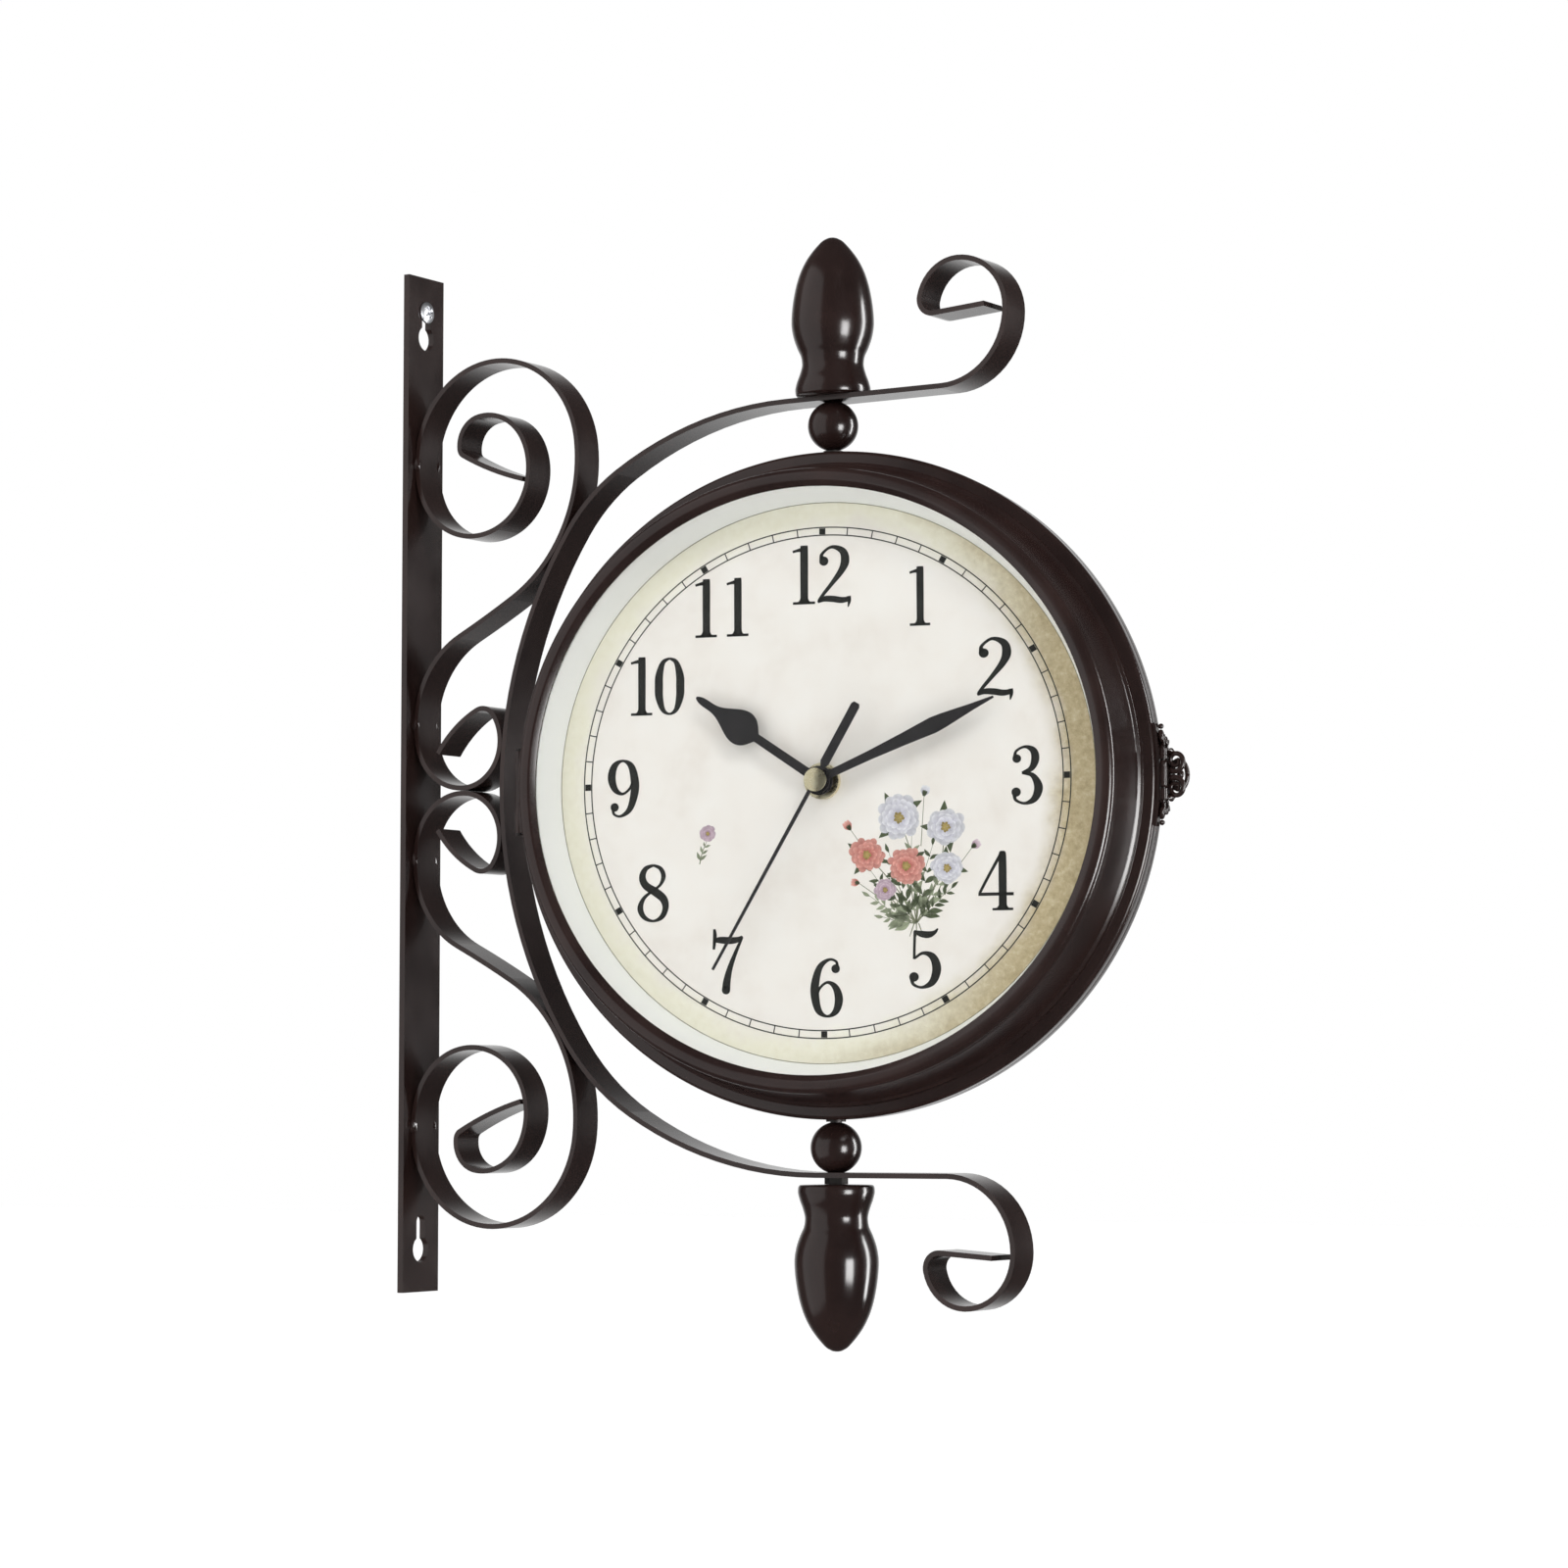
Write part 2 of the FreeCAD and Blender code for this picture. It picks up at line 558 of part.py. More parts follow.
for label, sign in (("upper_rod", 1.0), ("lower_rod", -1.0)):
    body = new_body(label)
    sketch = new_sketch(body, "XY_Plane", "rod_in" if sign > 0 else "-rod_out")
    ring(sketch, "0", "0", "rod_r")
    pad(body, sketch, "rod_out - rod_in")
    body.Placement.Base = V(size("axis_x"), 0, clock_z)
    bind(body, "Placement.Base.x", "axis_x")
    bind(body, "Placement.Base.z", "-drop")
    keep(body)


def hex_nut(z, height, flat, hole_r):
    """Hexagon nut about the pivot axis with its lower face at z."""
    corners = []
    for k in range(7):
        angle = math.radians(60 * k + 30)
        corners.append(V(flat / math.sqrt(3) * math.cos(angle), flat / math.sqrt(3) * math.sin(angle), z))
    prism = Part.Face(Part.makePolygon(corners)).extrude(V(0, 0, height))
    return prism.cut(Part.makeCylinder(hole_r, height, V(0, 0, z)))


pivot = V(size("axis_x"), 0, clock_z)
jam = hex_nut(-bar_face - size("jam_th"), size("jam_th"), size("nut_flat"), size("rod_r"))
jam.translate(pivot)
keep_shape("lower_jam_nut", jam)
washer_top = size("bush_low") - size("run_gap")
washer_low = washer_top - size("washer_th")
nut_low = washer_low - size("nut_th")
inner_nuts = [
    hex_nut(nut_low, size("nut_th"), size("nut_flat"), size("rod_r")),
    hex_nut(-nut_low - size("nut_th"), size("nut_th"), size("nut_flat"), size("rod_r")),
]
inner_washers = []
for z in (washer_low, -washer_top):
    disc = Part.makeCylinder(size("washer_r"), size("washer_th"), V(0, 0, z))
    inner_washers.append(disc.cut(Part.makeCylinder(size("rod_r"), size("washer_th"), V(0, 0, z))))
for label, group in (("pivot_nuts", inner_nuts), ("pivot_washers", inner_washers)):
    both = Part.makeCompound(group)
    both.translate(pivot)
    keep_shape(label, both)

# ---------------------------------------------------------------- carrier ring and its bushes
carrier = new_body("carrier_ring")
sketch = new_sketch(carrier, "XZ_Plane")
ring(sketch, "0", "0", "ring_out")
ring(sketch, "0", "0", "ring_in")
pad(carrier, sketch, "2*ring_half", both=True)
drill = new_sketch(carrier, "XY_Plane", "-rim_r")
ring(drill, "0", "0", "bush_r")
pocket(carrier, drill, "2*rim_r", back=True)
keep(in_head(carrier, front_turn))

bushes = []
for sign in (1, -1):
    low = size("bush_low")
    sleeve = Part.makeCylinder(size("bush_r"), size("bush_top") - low, V(0, 0, low))
    flange = Part.makeCylinder(size("bush_flange_r"), size("bush_flange_top") - low, V(0, 0, low))
    bush = sleeve.fuse(flange).cut(Part.makeCylinder(size("rod_r") + size("run_gap"), 20, V(0, 0, low - 5)))
    if sign < 0:
        bush.rotate(V(0, 0, 0), V(1, 0, 0), 180)
    bushes.append(bush.removeSplitter())
keep_shape("pivot_bushes", Part.makeCompound(bushes), front_turn)


# ---------------------------------------------------------------- case shells
def shell(label, rotation):
    """Spun case half: rim, flange, coved wall, rounded crest and lip round the glass."""
    body = new_body(label)
    sketch = new_sketch(body, "XY_Plane")
    drop_in = size("crest_d") - size("lip_d")
    run_in = size("crest_r") - size("crest_round") - size("lip_r")
    lip_round = (run_in ** 2 + drop_in ** 2) / (2 * drop_in)
    cove = size("cove_r")
    corners = [
        ("rim_r", "0"),
        ("rim_r", "-rim_half_w + edge_cut"),
        ("rim_r - edge_cut", "-rim_half_w"),
        ("step_r", "-rim_half_w - flange_rise"),
        ("wall_r", "-wall_foot", cove),
        ("crest_r", "-crest_d + crest_round", -size("crest_round")),
        ("crest_r - crest_round", "-crest_d", -lip_round),
        ("lip_r", "-lip_d"),
        ("lip_r", "-glass_out"),
        ("crest_r - 1.5*sheet_th", "-glass_out"),
        ("crest_r - sheet_th", "-glass_out + 0.7*sheet_th", -(cove + size("sheet_th"))),
        ("wall_r - sheet_th", "-wall_foot"),
        ("wall_r - sheet_th", "-rim_half_w - flange_rise + 1.4*sheet_th"),
        ("rim_r - sheet_th", "-rim_half_w + sheet_th"),
        ("rim_r - sheet_th", "0"),
    ]
    outline(sketch, corners)
    turn(body, sketch)
    # half-round notches where the pivot bushes pass the seam
    notch = new_sketch(body, "XY_Plane", "-rim_r - sheet_th")
    ring(notch, "0", "0", "notch_r")
    pocket(body, notch, "2*rim_r + 2*sheet_th", back=True)
    return keep(in_head(body, rotation))


front_shell = shell("front_shell", front_turn)
rear_shell = shell("rear_shell", rear_turn)


# ---------------------------------------------------------------- one face of the clock
def disc(label, rotation, depth, thickness, radius, bore=None):
    """Flat round piece facing out of the dial."""
    body = new_body(label)
    sketch = new_sketch(body, "XZ_Plane", depth)
    ring(sketch, "0", "0", radius)
    if bore is not None:
        ring(sketch, "0", "0", bore)
    pad(body, sketch, thickness)
    return keep(in_head(body, rotation))


def hand_outline(kind):
    """Half outline of a hand that points up, as (distance along, half width) spots."""
    if kind == "hour":
        far = size("hour_len")
        return [(4.4, 1.6), (0.51 * far, 1.5), (0.53 * far, 2.9), (0.57 * far, 5.1), (0.63 * far, 6.1),
                (0.69 * far, 5.4), (0.77 * far, 3.2), (0.86 * far, 1.5), (0.985 * far, 0.8), (far, 0.3)]
    if kind == "minute":
        far = size("minute_len")
        return [(4.0, 1.3), (0.3 * far, 1.55), (0.5 * far, 2.15), (0.66 * far, 2.8), (0.72 * far, 2.5),
                (0.88 * far, 1.15), (far, 0.35)]
    far = size("second_len")
    return [(3.0, 0.42), (0.5 * far, 0.4), (far, 0.2)]


def hand(label, kind, rotation, hub_r, bore_r, depth, spin):
    """Stamped hand with its hub disc; the second hand has a bar shaped tail."""
    spots = hand_outline(kind)
    right = [V(w, 0, a) for a, w in spots]
    left = [V(-w, 0, a) for a, w in reversed(spots)]
    if kind == "hour":
        edge = Part.BSplineCurve()
        edge.interpolate(right[1:])
        other = Part.BSplineCurve()
        other.interpolate(left[:-1])
        wire = Part.Wire([
            Part.makeLine(right[0], right[1]), edge.toShape(), Part.makeLine(right[-1], left[0]),
            other.toShape(), Part.makeLine(left[-2], left[-1]), Part.makeLine(left[-1], right[0]),
        ])
    else:
        wire = Part.makePolygon(right + left + [right[0]])
    thick = V(0, -size("hand_th"), 0)
    blade = Part.Face(wire).extrude(thick)
    hub = Part.makeCylinder(hub_r, size("hand_th"), V(0, 0, 0), V(0, -1, 0))
    pieces = [hub]
    if kind == "second":
        start = size("tail_start")
        stop = size("tail_len")
        wide = size("tail_half_w")
        ends = [V(0.8, 0, -2), V(0.8, 0, -start + 0.8), V(wide, 0, -start - 0.6), V(wide, 0, -stop + 1.0),
                V(wide - 0.6, 0, -stop), V(-wide + 0.6, 0, -stop), V(-wide, 0, -stop + 1.0),
                V(-wide, 0, -start - 0.6), V(-0.8, 0, -start + 0.8), V(-0.8, 0, -2), V(0.8, 0, -2)]
        pieces.append(Part.Face(Part.makePolygon(ends)).extrude(thick))
    body = blade.multiFuse(pieces)
    body = body.cut(Part.makeCylinder(bore_r, 4, V(0, 2, 0), V(0, -1, 0))).removeSplitter()
    body.translate(V(0, -depth, 0))
    body.rotate(V(0, 0, 0), V(0, 1, 0), spin)
    solid = body.Solids[0] if body.ShapeType == "Compound" else body
    keep_shape(label, solid, rotation)


def tube(label, rotation, outer_r, inner_r, low, wheel_face, high, wheel_r):
    """Arbor or pipe of the motion work with its wheel, about the head's Y axis."""
    body = new_body(label)
    sketch = new_sketch(body, "XY_Plane")
    inner = inner_r if inner_r is not None else "0"
    outline(sketch, [
        (inner, low), (wheel_r, low), (wheel_r, wheel_face), (outer_r, wheel_face), (outer_r, high),
        (inner, high),
    ])
    turn(body, sketch)
    return keep(in_head(body, rotation))


def movement(side, rotation):
    """Slim quartz movement: a shallow wheel box and a deeper battery bay below it."""
    body = new_body(side + "_movement")
    sketch = new_sketch(body, "YZ_Plane")
    outline(sketch, [
        ("-box_out", "box_low"), ("-bay_back", "box_low"), ("-bay_back", "bay_split"),
        ("-box_back", "bay_split"), ("-box_back", "0.5*box_w"), ("-box_out", "0.5*box_w"),
    ])
    pad(body, sketch, "box_w", both=True)
    collar = new_sketch(body, "XZ_Plane", "box_out")
    ring(collar, "0", "0", "collar_r")
    pad(body, collar, "collar_out - box_out")
    # wheel room, open at the back, with a ledge for the lid
    ledge = new_sketch(body, "XZ_Plane", "box_back")
    box_outline(ledge, "-0.5*box_w + lid_ledge", "bay_split + split_ledge",
                "0.5*box_w - lid_ledge", "0.5*box_w - lid_ledge")
    pocket(body, ledge, "lid_th", back=True)
    room = new_sketch(body, "XZ_Plane", "box_back")
    box_outline(room, "-0.5*box_w + room_wall", "bay_split + split_wall",
                "0.5*box_w - room_wall", "0.5*box_w - room_wall")
    pocket(body, room, "wheel_room", back=True)
    through = new_sketch(body, "XZ_Plane", "box_back")
    ring(through, "0", "0", "hour_pipe_r + run_gap")
    pocket(body, through, "collar_out", back=True)
    # battery bay, open at the back
    bay = new_sketch(body, "YZ_Plane")
    ring(bay, "-cell_d", "cell_z", "cell_r + cell_gap")
    pocket(body, bay, "cell_len + 2*contact_th", both=True)
    mouth = new_sketch(body, "XZ_Plane", "bay_back")
    box_outline(mouth, "-0.5*cell_len - contact_th", "cell_z - cell_r - cell_gap",
                "0.5*cell_len + contact_th", "cell_z + cell_r + cell_gap")
    pocket(body, mouth, "cell_d - bay_back", back=True)
    return keep(in_head(body, rotation))


def face_set(side, rotation, body_rotation):
    """Everything behind one glass."""
    disc(side + "_glass", rotation, "glass_out - glass_th", "glass_th", "glass_r")
    liner = new_body(side + "_inner_ring")
    sketch = new_sketch(liner, "XY_Plane")
    outline(sketch, [
        ("liner_low_r", "-dial_out"),
        ("liner_foot_r", "-dial_out"),
        ("liner_foot_r", "-dial_out - liner_wall"),
        ("liner_low_r + liner_wall + liner_bead", "-dial_out - liner_wall"),
        ("liner_top_r + liner_wall - liner_bead", "-glass_out + glass_th + liner_wall"),
        ("liner_flange_r", "-glass_out + glass_th + liner_wall"),
        ("liner_flange_r", "-glass_out + glass_th"),
        ("liner_top_r", "-glass_out + glass_th"),
    ])
    turn(liner, sketch)
    keep(in_head(liner, rotation))
    disc(side + "_dial", rotation, "dial_out - dial_th", "dial_th", "dial_r", "dial_bore")
    tabs = []
    for k in range(4):
        tab = Part.makeBox(size("tab_out") - size("tab_in"), size("tab_th"), size("tab_w"),
                           V(size("tab_in"), -(size("dial_out") - size("dial_th")), -size("tab_w") / 2))
        edge = Part.makeCylinder(size("tab_out"), 2 * size("dial_out"), V(0, 0, 0), V(0, -1, 0))
        tab = tab.common(edge)
        tab.rotate(V(0, 0, 0), V(0, 1, 0), 45 + 90 * k)
        tabs.append(tab)
    keep_shape(side + "_dial_tabs", Part.makeCompound(tabs), rotation)
    disc(side + "_gasket", body_rotation, "box_out", "gasket_th", "gasket_r", "collar_r + run_gap")
    disc(side + "_collar_nut", rotation, "dial_out", "nut_d", "nut_r", "collar_r")
    movement(side, body_rotation)
    lid = new_body(side + "_movement_lid")
    sketch = new_sketch(lid, "XZ_Plane", "box_back")
    box_outline(sketch, "-0.5*box_w + lid_ledge + lid_gap", "bay_split + split_ledge + lid_gap",
                "0.5*box_w - lid_ledge - lid_gap", "0.5*box_w - lid_ledge - lid_gap")
    ring(sketch, "knob_x", "0", "knob_shaft_r + run_gap")
    pad(lid, sketch, "lid_th")
    keep(in_head(lid, body_rotation))
    cell = new_body(side + "_battery")
    sketch = new_sketch(cell, "YZ_Plane")
    ring(sketch, "-cell_d", "cell_z", "cell_r")
    pad(cell, sketch, "cell_len", both=True)
    keep(in_head(cell, body_rotation))
    contacts = []
    contact_half = size("contact_half")
    for sign in (-1, 1):
        x = sign * size("cell_len") / 2
        x = x if sign > 0 else x - size("contact_th")
        corner = V(x, -size("cell_d") - contact_half, size("cell_z") - contact_half)
        contacts.append(Part.makeBox(size("contact_th"), 2 * contact_half, 2 * contact_half, corner))
    keep_shape(side + "_contacts", Part.makeCompound(contacts), body_rotation)
    knob = new_body(side + "_set_knob")
    sketch = new_sketch(knob, "XY_Plane")
    outline(sketch, [
        ("0", "-box_back + knob_lift + knob_th"), ("knob_r", "-box_back + knob_lift + knob_th"),
        ("knob_r", "-box_back + knob_lift"), ("knob_shaft_r", "-box_back + knob_lift"),
        ("knob_shaft_r", "-box_out + minute_wheel_in"), ("wheel_r", "-box_out + minute_wheel_in"),
        ("wheel_r", "-box_out + minute_wheel_in - wheel_th"), ("0", "-box_out + minute_wheel_in - wheel_th"),
    ])
    turn(knob, sketch)
    knob.Placement = FreeCAD.Placement(pivot, body_rotation).multiply(
        FreeCAD.Placement(V(size("knob_x"), 0, 0), FreeCAD.Rotation()))
    keep(knob)
    # pipe, arbor and staff, from the wheel room out through the dial
    tube(side + "_hour_pipe", rotation, "hour_pipe_r", "hour_bore_r",
         "-box_out + hour_wheel_in", "-box_out + hour_wheel_in - wheel_th",
         "-hour_d - hand_th - hour_stub", "hour_wheel_r")
    tube(side + "_minute_arbor", rotation, "minute_r", "minute_bore_r",
         "-box_out + minute_wheel_in", "-box_out + minute_wheel_in - wheel_th",
         "-minute_d - hand_th - minute_stub", "wheel_r")
    tube(side + "_second_staff", rotation, "second_r", None,
         "-box_out + second_wheel_in", "-box_out + second_wheel_in - second_wheel_th",
         "-second_d - hand_th", "second_wheel_r")
    hand(side + "_hour_hand", "hour", rotation, size("hour_hub_r"), size("hour_pipe_r"), size("hour_d"),
         size("hour_turn"))
    hand(side + "_minute_hand", "minute", rotation, size("minute_hub_r"), size("minute_r"), size("minute_d"),
         size("minute_turn"))
    hand(side + "_second_hand", "second", rotation, size("second_hub_r"), size("second_r"), size("second_d"),
         size("second_turn"))
    cap = new_body(side + "_hand_cap")
    sketch = new_sketch(cap, "XY_Plane")
    dome = 0.5 * size("cap_th")
    dome_r = (size("cap_r") ** 2 + dome ** 2) / (2 * dome)
    outline(sketch, [
        ("0", "-second_d - hand_th"), ("cap_r", "-second_d - hand_th"),
        ("cap_r", "-second_d - hand_th - 0.5*cap_th", -dome_r), ("0", "-second_d - hand_th - cap_th"),
    ])
    turn(cap, sketch)
    keep(in_head(cap, rotation))


face_set("front", front_turn, front_turn)
face_set("rear", rear_turn, flip_turn)


# ---------------------------------------------------------------- hinge on the left
def curved_leaf(inner_r, thick, y_low, y_high, half_z, sign):
    """Plate bent round the rim: sign -1 at the left, +1 at the right."""
    outer = Part.makeCylinder(inner_r + thick, y_high - y_low, V(0, y_low, 0), V(0, 1, 0))
    hollow = Part.makeCylinder(inner_r, y_high - y_low, V(0, y_low, 0), V(0, 1, 0))
    far = inner_r + thick
    wide = Part.makeBox(far, y_high - y_low, 2 * half_z, V(0 if sign > 0 else -far, y_low, -half_z))
    return outer.cut(hollow).common(wide)


rim_r = size("rim_r")
hinge_x = -size("hinge_x")
half = size("hinge_half")
mid = size("knuckle_mid")
leaf_far = size("rim_half_w") - size("edge_cut") - 0.1
rim_core = Part.makeCylinder(rim_r, 4 * leaf_far, V(0, -2 * leaf_far, 0), V(0, 1, 0))
for label, side in (("front_hinge_leaf", -1), ("rear_hinge_leaf", 1)):
    low = -leaf_far if side < 0 else size("leaf_gap")
    high = -size("leaf_gap") if side < 0 else leaf_far
    leaf = curved_leaf(rim_r, size("leaf_th"), low, high, half, -1)
    eyes = []
    spans = [(-half, -mid - 0.1), (mid + 0.1, half)] if side < 0 else [(-mid, mid)]
    for z_low, z_high in spans:
        eyes.append(Part.makeCylinder(size("knuckle_r"), z_high - z_low, V(hinge_x, 0, z_low)))
        web_low = -2.4 if side < 0 else 0.2
        web = Part.makeBox(size("leaf_th"), 2.2, z_high - z_low, V(-rim_r - size("leaf_th"), web_low, z_low))
        eyes.append(web)
    leaf = leaf.multiFuse(eyes)
    leaf = leaf.cut(Part.makeCylinder(size("pin_r") + size("run_gap"), 4 * half, V(hinge_x, 0, -2 * half)))
    # nothing of the leaf reaches into the rim it lies on
    leaf = leaf.cut(rim_core)
    leaf = leaf.removeSplitter()
    keep_shape(label, leaf.Solids[0] if len(leaf.Solids) == 1 else leaf, front_turn)
hinge_pin = Part.makeCylinder(size("pin_r"), 2 * half, V(hinge_x, 0, -half))
for z in (-half - size("pin_head_th"), half):
    hinge_pin = hinge_pin.fuse(Part.makeCylinder(size("pin_head_r"), size("pin_head_th"), V(hinge_x, 0, z)))
keep_shape("hinge_pin", hinge_pin.removeSplitter(), front_turn)


# ---------------------------------------------------------------- hasp on the right
def scalloped(shape, half_z, y_low, y_high):
    """Bite round scallops out of the corners of a latch leaf."""
    bites = []
    middle = (y_low + y_high) / 2
    for z in (-half_z, half_z):
        bites.append(Part.makeCylinder(size("latch_bite_r"), rim_r, V(0.5 * rim_r, middle, z), V(1, 0, 0)))
    return shape.cut(Part.makeCompound(bites))


latch_leaf = size("latch_leaf")
latch_half = size("latch_half")
hasp_x = size("hasp_x")
hasp_y = -size("hasp_d")
eye_r = size("hasp_knuckle_r")
split = size("latch_split")
eye_half = size("hasp_eye_half")
eye_in = eye_half + size("hasp_eye_gap")
eye_out = eye_in + size("hasp_eye_w")
front_plate = curved_leaf(rim_r, latch_leaf, -leaf_far, -split, latch_half, 1)
front_plate = scalloped(front_plate, latch_half, -leaf_far, -split)
for z_low, z_high in ((-eye_out, -eye_in), (eye_in, eye_out)):
    eye = Part.makeCylinder(eye_r, z_high - z_low, V(hasp_x, hasp_y, z_low))
    web = Part.makeBox(hasp_x - rim_r, eye_r, z_high - z_low, V(rim_r, hasp_y, z_low))
    front_plate = front_plate.multiFuse([eye, web])
pin_room = Part.makeCylinder(size("hasp_pin_r"), 4 * eye_out, V(hasp_x, hasp_y, -2 * eye_out))
front_plate = front_plate.cut(pin_room).cut(rim_core).removeSplitter()
keep_shape("hasp_plate", front_plate.Solids[0], front_turn)
hasp_pin = Part.makeCylinder(size("hasp_pin_r"), 2 * eye_out, V(hasp_x, hasp_y, -eye_out))
keep_shape("hasp_pin", hasp_pin, front_turn)

catch = curved_leaf(rim_r, latch_leaf, split, leaf_far, 0.8 * latch_half, 1)
catch = scalloped(catch, 0.8 * latch_half, split, leaf_far)
lug_top = hasp_x + eye_r - size("hasp_th") - size("hasp_rest")
catch = catch.fuse(Part.makeBox(lug_top - rim_r - 0.4, 2.6, 6.0, V(rim_r + 0.4, 1.6, -3.0)))
catch = catch.cut(rim_core).removeSplitter()
keep_shape("hasp_catch", catch.Solids[0], front_turn)

flap_low = hasp_x + eye_r - size("hasp_th")
flap = Part.makeBox(size("hasp_th"), size("hasp_reach") - hasp_y, 2 * size("hasp_half"),
                    V(flap_low, hasp_y, -size("hasp_half")))
eye = Part.makeCylinder(eye_r, 2 * eye_half, V(hasp_x, hasp_y, -eye_half))
# the flap's corners are cut away round the plate's eyes
past = 2 * size("hasp_half")
for z_low in (eye_half, -eye_half - past):
    flap = flap.cut(Part.makeBox(8, eye_r + 0.4, past, V(flap_low - 4, hasp_y - 0.01, z_low)))
bulge = Part.makeSphere(1.0)
grow = FreeCAD.Matrix()
grow.scale(size("knob_len"), size("bulge_half_w"), size("bulge_half_h"))
bulge = bulge.transformGeometry(grow)
bulge.translate(V(flap_low, size("bulge_y"), 0))
wide = 2 * size("bulge_half_h")
bulge = bulge.cut(Part.makeBox(wide, 2 * wide, 2 * wide, V(flap_low - wide, -wide, -wide)))
hasp = flap.multiFuse([eye, bulge])
hasp_bore_r = size("hasp_pin_r") + size("run_gap")
hasp = hasp.cut(Part.makeCylinder(hasp_bore_r, 4 * eye_out, V(hasp_x, hasp_y, -2 * eye_out)))
hasp = hasp.removeSplitter()
keep_shape("hasp", hasp.Solids[0], front_turn)

# ---------------------------------------------------------------- check and write
doc.recompute()
faults = []
for thing in doc.Objects:
    if "Invalid" in thing.State or "Error" in thing.State:
        faults.append("%s: %s" % (thing.Label, thing.State))
for piece in nodes:
    if piece.Shape.isNull() or not piece.Shape.isValid() or not piece.Shape.Solids:
        faults.append("%s has no valid solid" % piece.Label)
if faults:
    raise RuntimeError("; ".join(faults))
for piece in nodes:
    piece.Shape.exportStep(os.path.join("parts", piece.Label + ".step"))
print("wrote", len(nodes), "pieces")
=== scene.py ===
"""Looks of the double sided station clock: printed dials, enamel, brass, glass, weld beads, light."""
import json
import math
import bpy
import numpy as np
from mathutils import Matrix, Vector


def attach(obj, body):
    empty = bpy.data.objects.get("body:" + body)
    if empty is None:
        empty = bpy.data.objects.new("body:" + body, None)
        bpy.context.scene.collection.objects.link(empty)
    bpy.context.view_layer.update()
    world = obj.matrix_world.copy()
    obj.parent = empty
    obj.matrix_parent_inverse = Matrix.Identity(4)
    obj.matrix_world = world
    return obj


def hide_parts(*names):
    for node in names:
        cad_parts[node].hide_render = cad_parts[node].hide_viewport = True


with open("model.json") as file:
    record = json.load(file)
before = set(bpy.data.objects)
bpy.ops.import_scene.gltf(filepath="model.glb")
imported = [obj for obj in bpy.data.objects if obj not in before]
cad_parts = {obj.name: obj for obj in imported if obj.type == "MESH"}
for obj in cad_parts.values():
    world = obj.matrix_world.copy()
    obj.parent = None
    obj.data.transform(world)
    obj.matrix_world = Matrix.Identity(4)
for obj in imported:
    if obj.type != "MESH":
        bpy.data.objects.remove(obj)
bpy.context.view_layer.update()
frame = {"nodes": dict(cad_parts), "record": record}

# Lengths are in millimetres, and MM turns them into metres. The head's upright axis stands AXIS_X out
# from the wall, the dials' middle lies DROP below the plate's, and at rest the head is turned by TURN.
MM = 0.001
AXIS_X = 179.0
DROP = 9.0
TURN = math.radians(13.4)
COS = math.cos(TURN)
SIN = math.sin(TURN)
# The printed face of each dial, out from the head's middle plane.
DIAL_DEPTH = 12.5
# Which way each dial faces, and the body that carries it.
FACING = {"front": 1.0, "rear": -1.0}
CARRIER = {"front": "front_door", "rear": "head"}


# ------------------------------------------------------------------ mesh helpers
def to_row(side, x, z, depth):
    """Dial coordinates (x to the right and z up as one looks at that dial, depth out of it), in
    millimetres, to the row frame in metres: a turn about the upright axis, then a shift."""
    facing = FACING[side]
    x = np.asarray(x, float)
    z = np.asarray(z, float)
    depth = np.asarray(depth, float)
    return np.stack([
        (AXIS_X + facing * (x * COS + depth * SIN)) * MM,
        facing * (x * SIN - depth * COS) * MM,
        (z - DROP) * MM + 0 * x,
    ], -1)


def add_mesh(name, verts, faces, tint=None, smooth=True):
    """A mesh object at the origin from an (n, 3) array and a list of face arrays. The tint is a colour
    for each point."""
    mesh = bpy.data.meshes.new(name)
    rows = []
    for block in faces:
        rows += np.asarray(block, int).tolist()
    mesh.from_pydata(np.asarray(verts, float).tolist(), [], rows)
    if tint is not None:
        layer = mesh.attributes.new("tint", "FLOAT_COLOR", "POINT")
        rgba = np.ones((len(verts), 4), np.float32)
        rgba[:, :3] = tint
        layer.data.foreach_set("color", rgba.ravel())
    mesh.update()
    mesh.polygons.foreach_set("use_smooth", [smooth] * len(mesh.polygons))
    thing = bpy.data.objects.new(name, mesh)
    bpy.context.scene.collection.objects.link(thing)
    return thing


def grid_faces(rows, columns, wrap_rows=False, wrap_columns=False, start=0):
    """Quads between neighbouring points of a rows x columns grid."""
    i = np.arange(rows if wrap_rows else rows - 1)
    j = np.arange(columns if wrap_columns else columns - 1)
    i, j = np.meshgrid(i, j, indexing="ij")
    i2 = (i + 1) % rows
    j2 = (j + 1) % columns
    quads = np.stack([i * columns + j, i2 * columns + j, i2 * columns + j2, i * columns + j2], -1)
    return quads.reshape(-1, 4) + start


def smooth_path(points, per=10):
    """Points of a curve through control points of any width (x, y, width ...): each span is a cubic
    whose end slopes are half the difference of the neighbouring points."""
    p = np.asarray(points, float)
    if len(p) == 2:
        s = np.linspace(0, 1, per + 1)[:, None]
        return p[0] * (1 - s) + p[1] * s
    q = np.vstack([2 * p[0] - p[1], p, 2 * p[-1] - p[-2]])
    s = np.linspace(0, 1, per, endpoint=False)[None, :, None]
    a, b, c, d = (q[k:len(q) - 3 + k][:, None, :] for k in range(4))
    linear = (c - a) * s
    square = (2 * a - 5 * b + 4 * c - d) * s ** 2
    cubic = (3 * b - a - 3 * c + d) * s ** 3
    out = 0.5 * (2 * b + linear + square + cubic)
    return np.vstack([out.reshape(-1, p.shape[1]), p[-1:]])


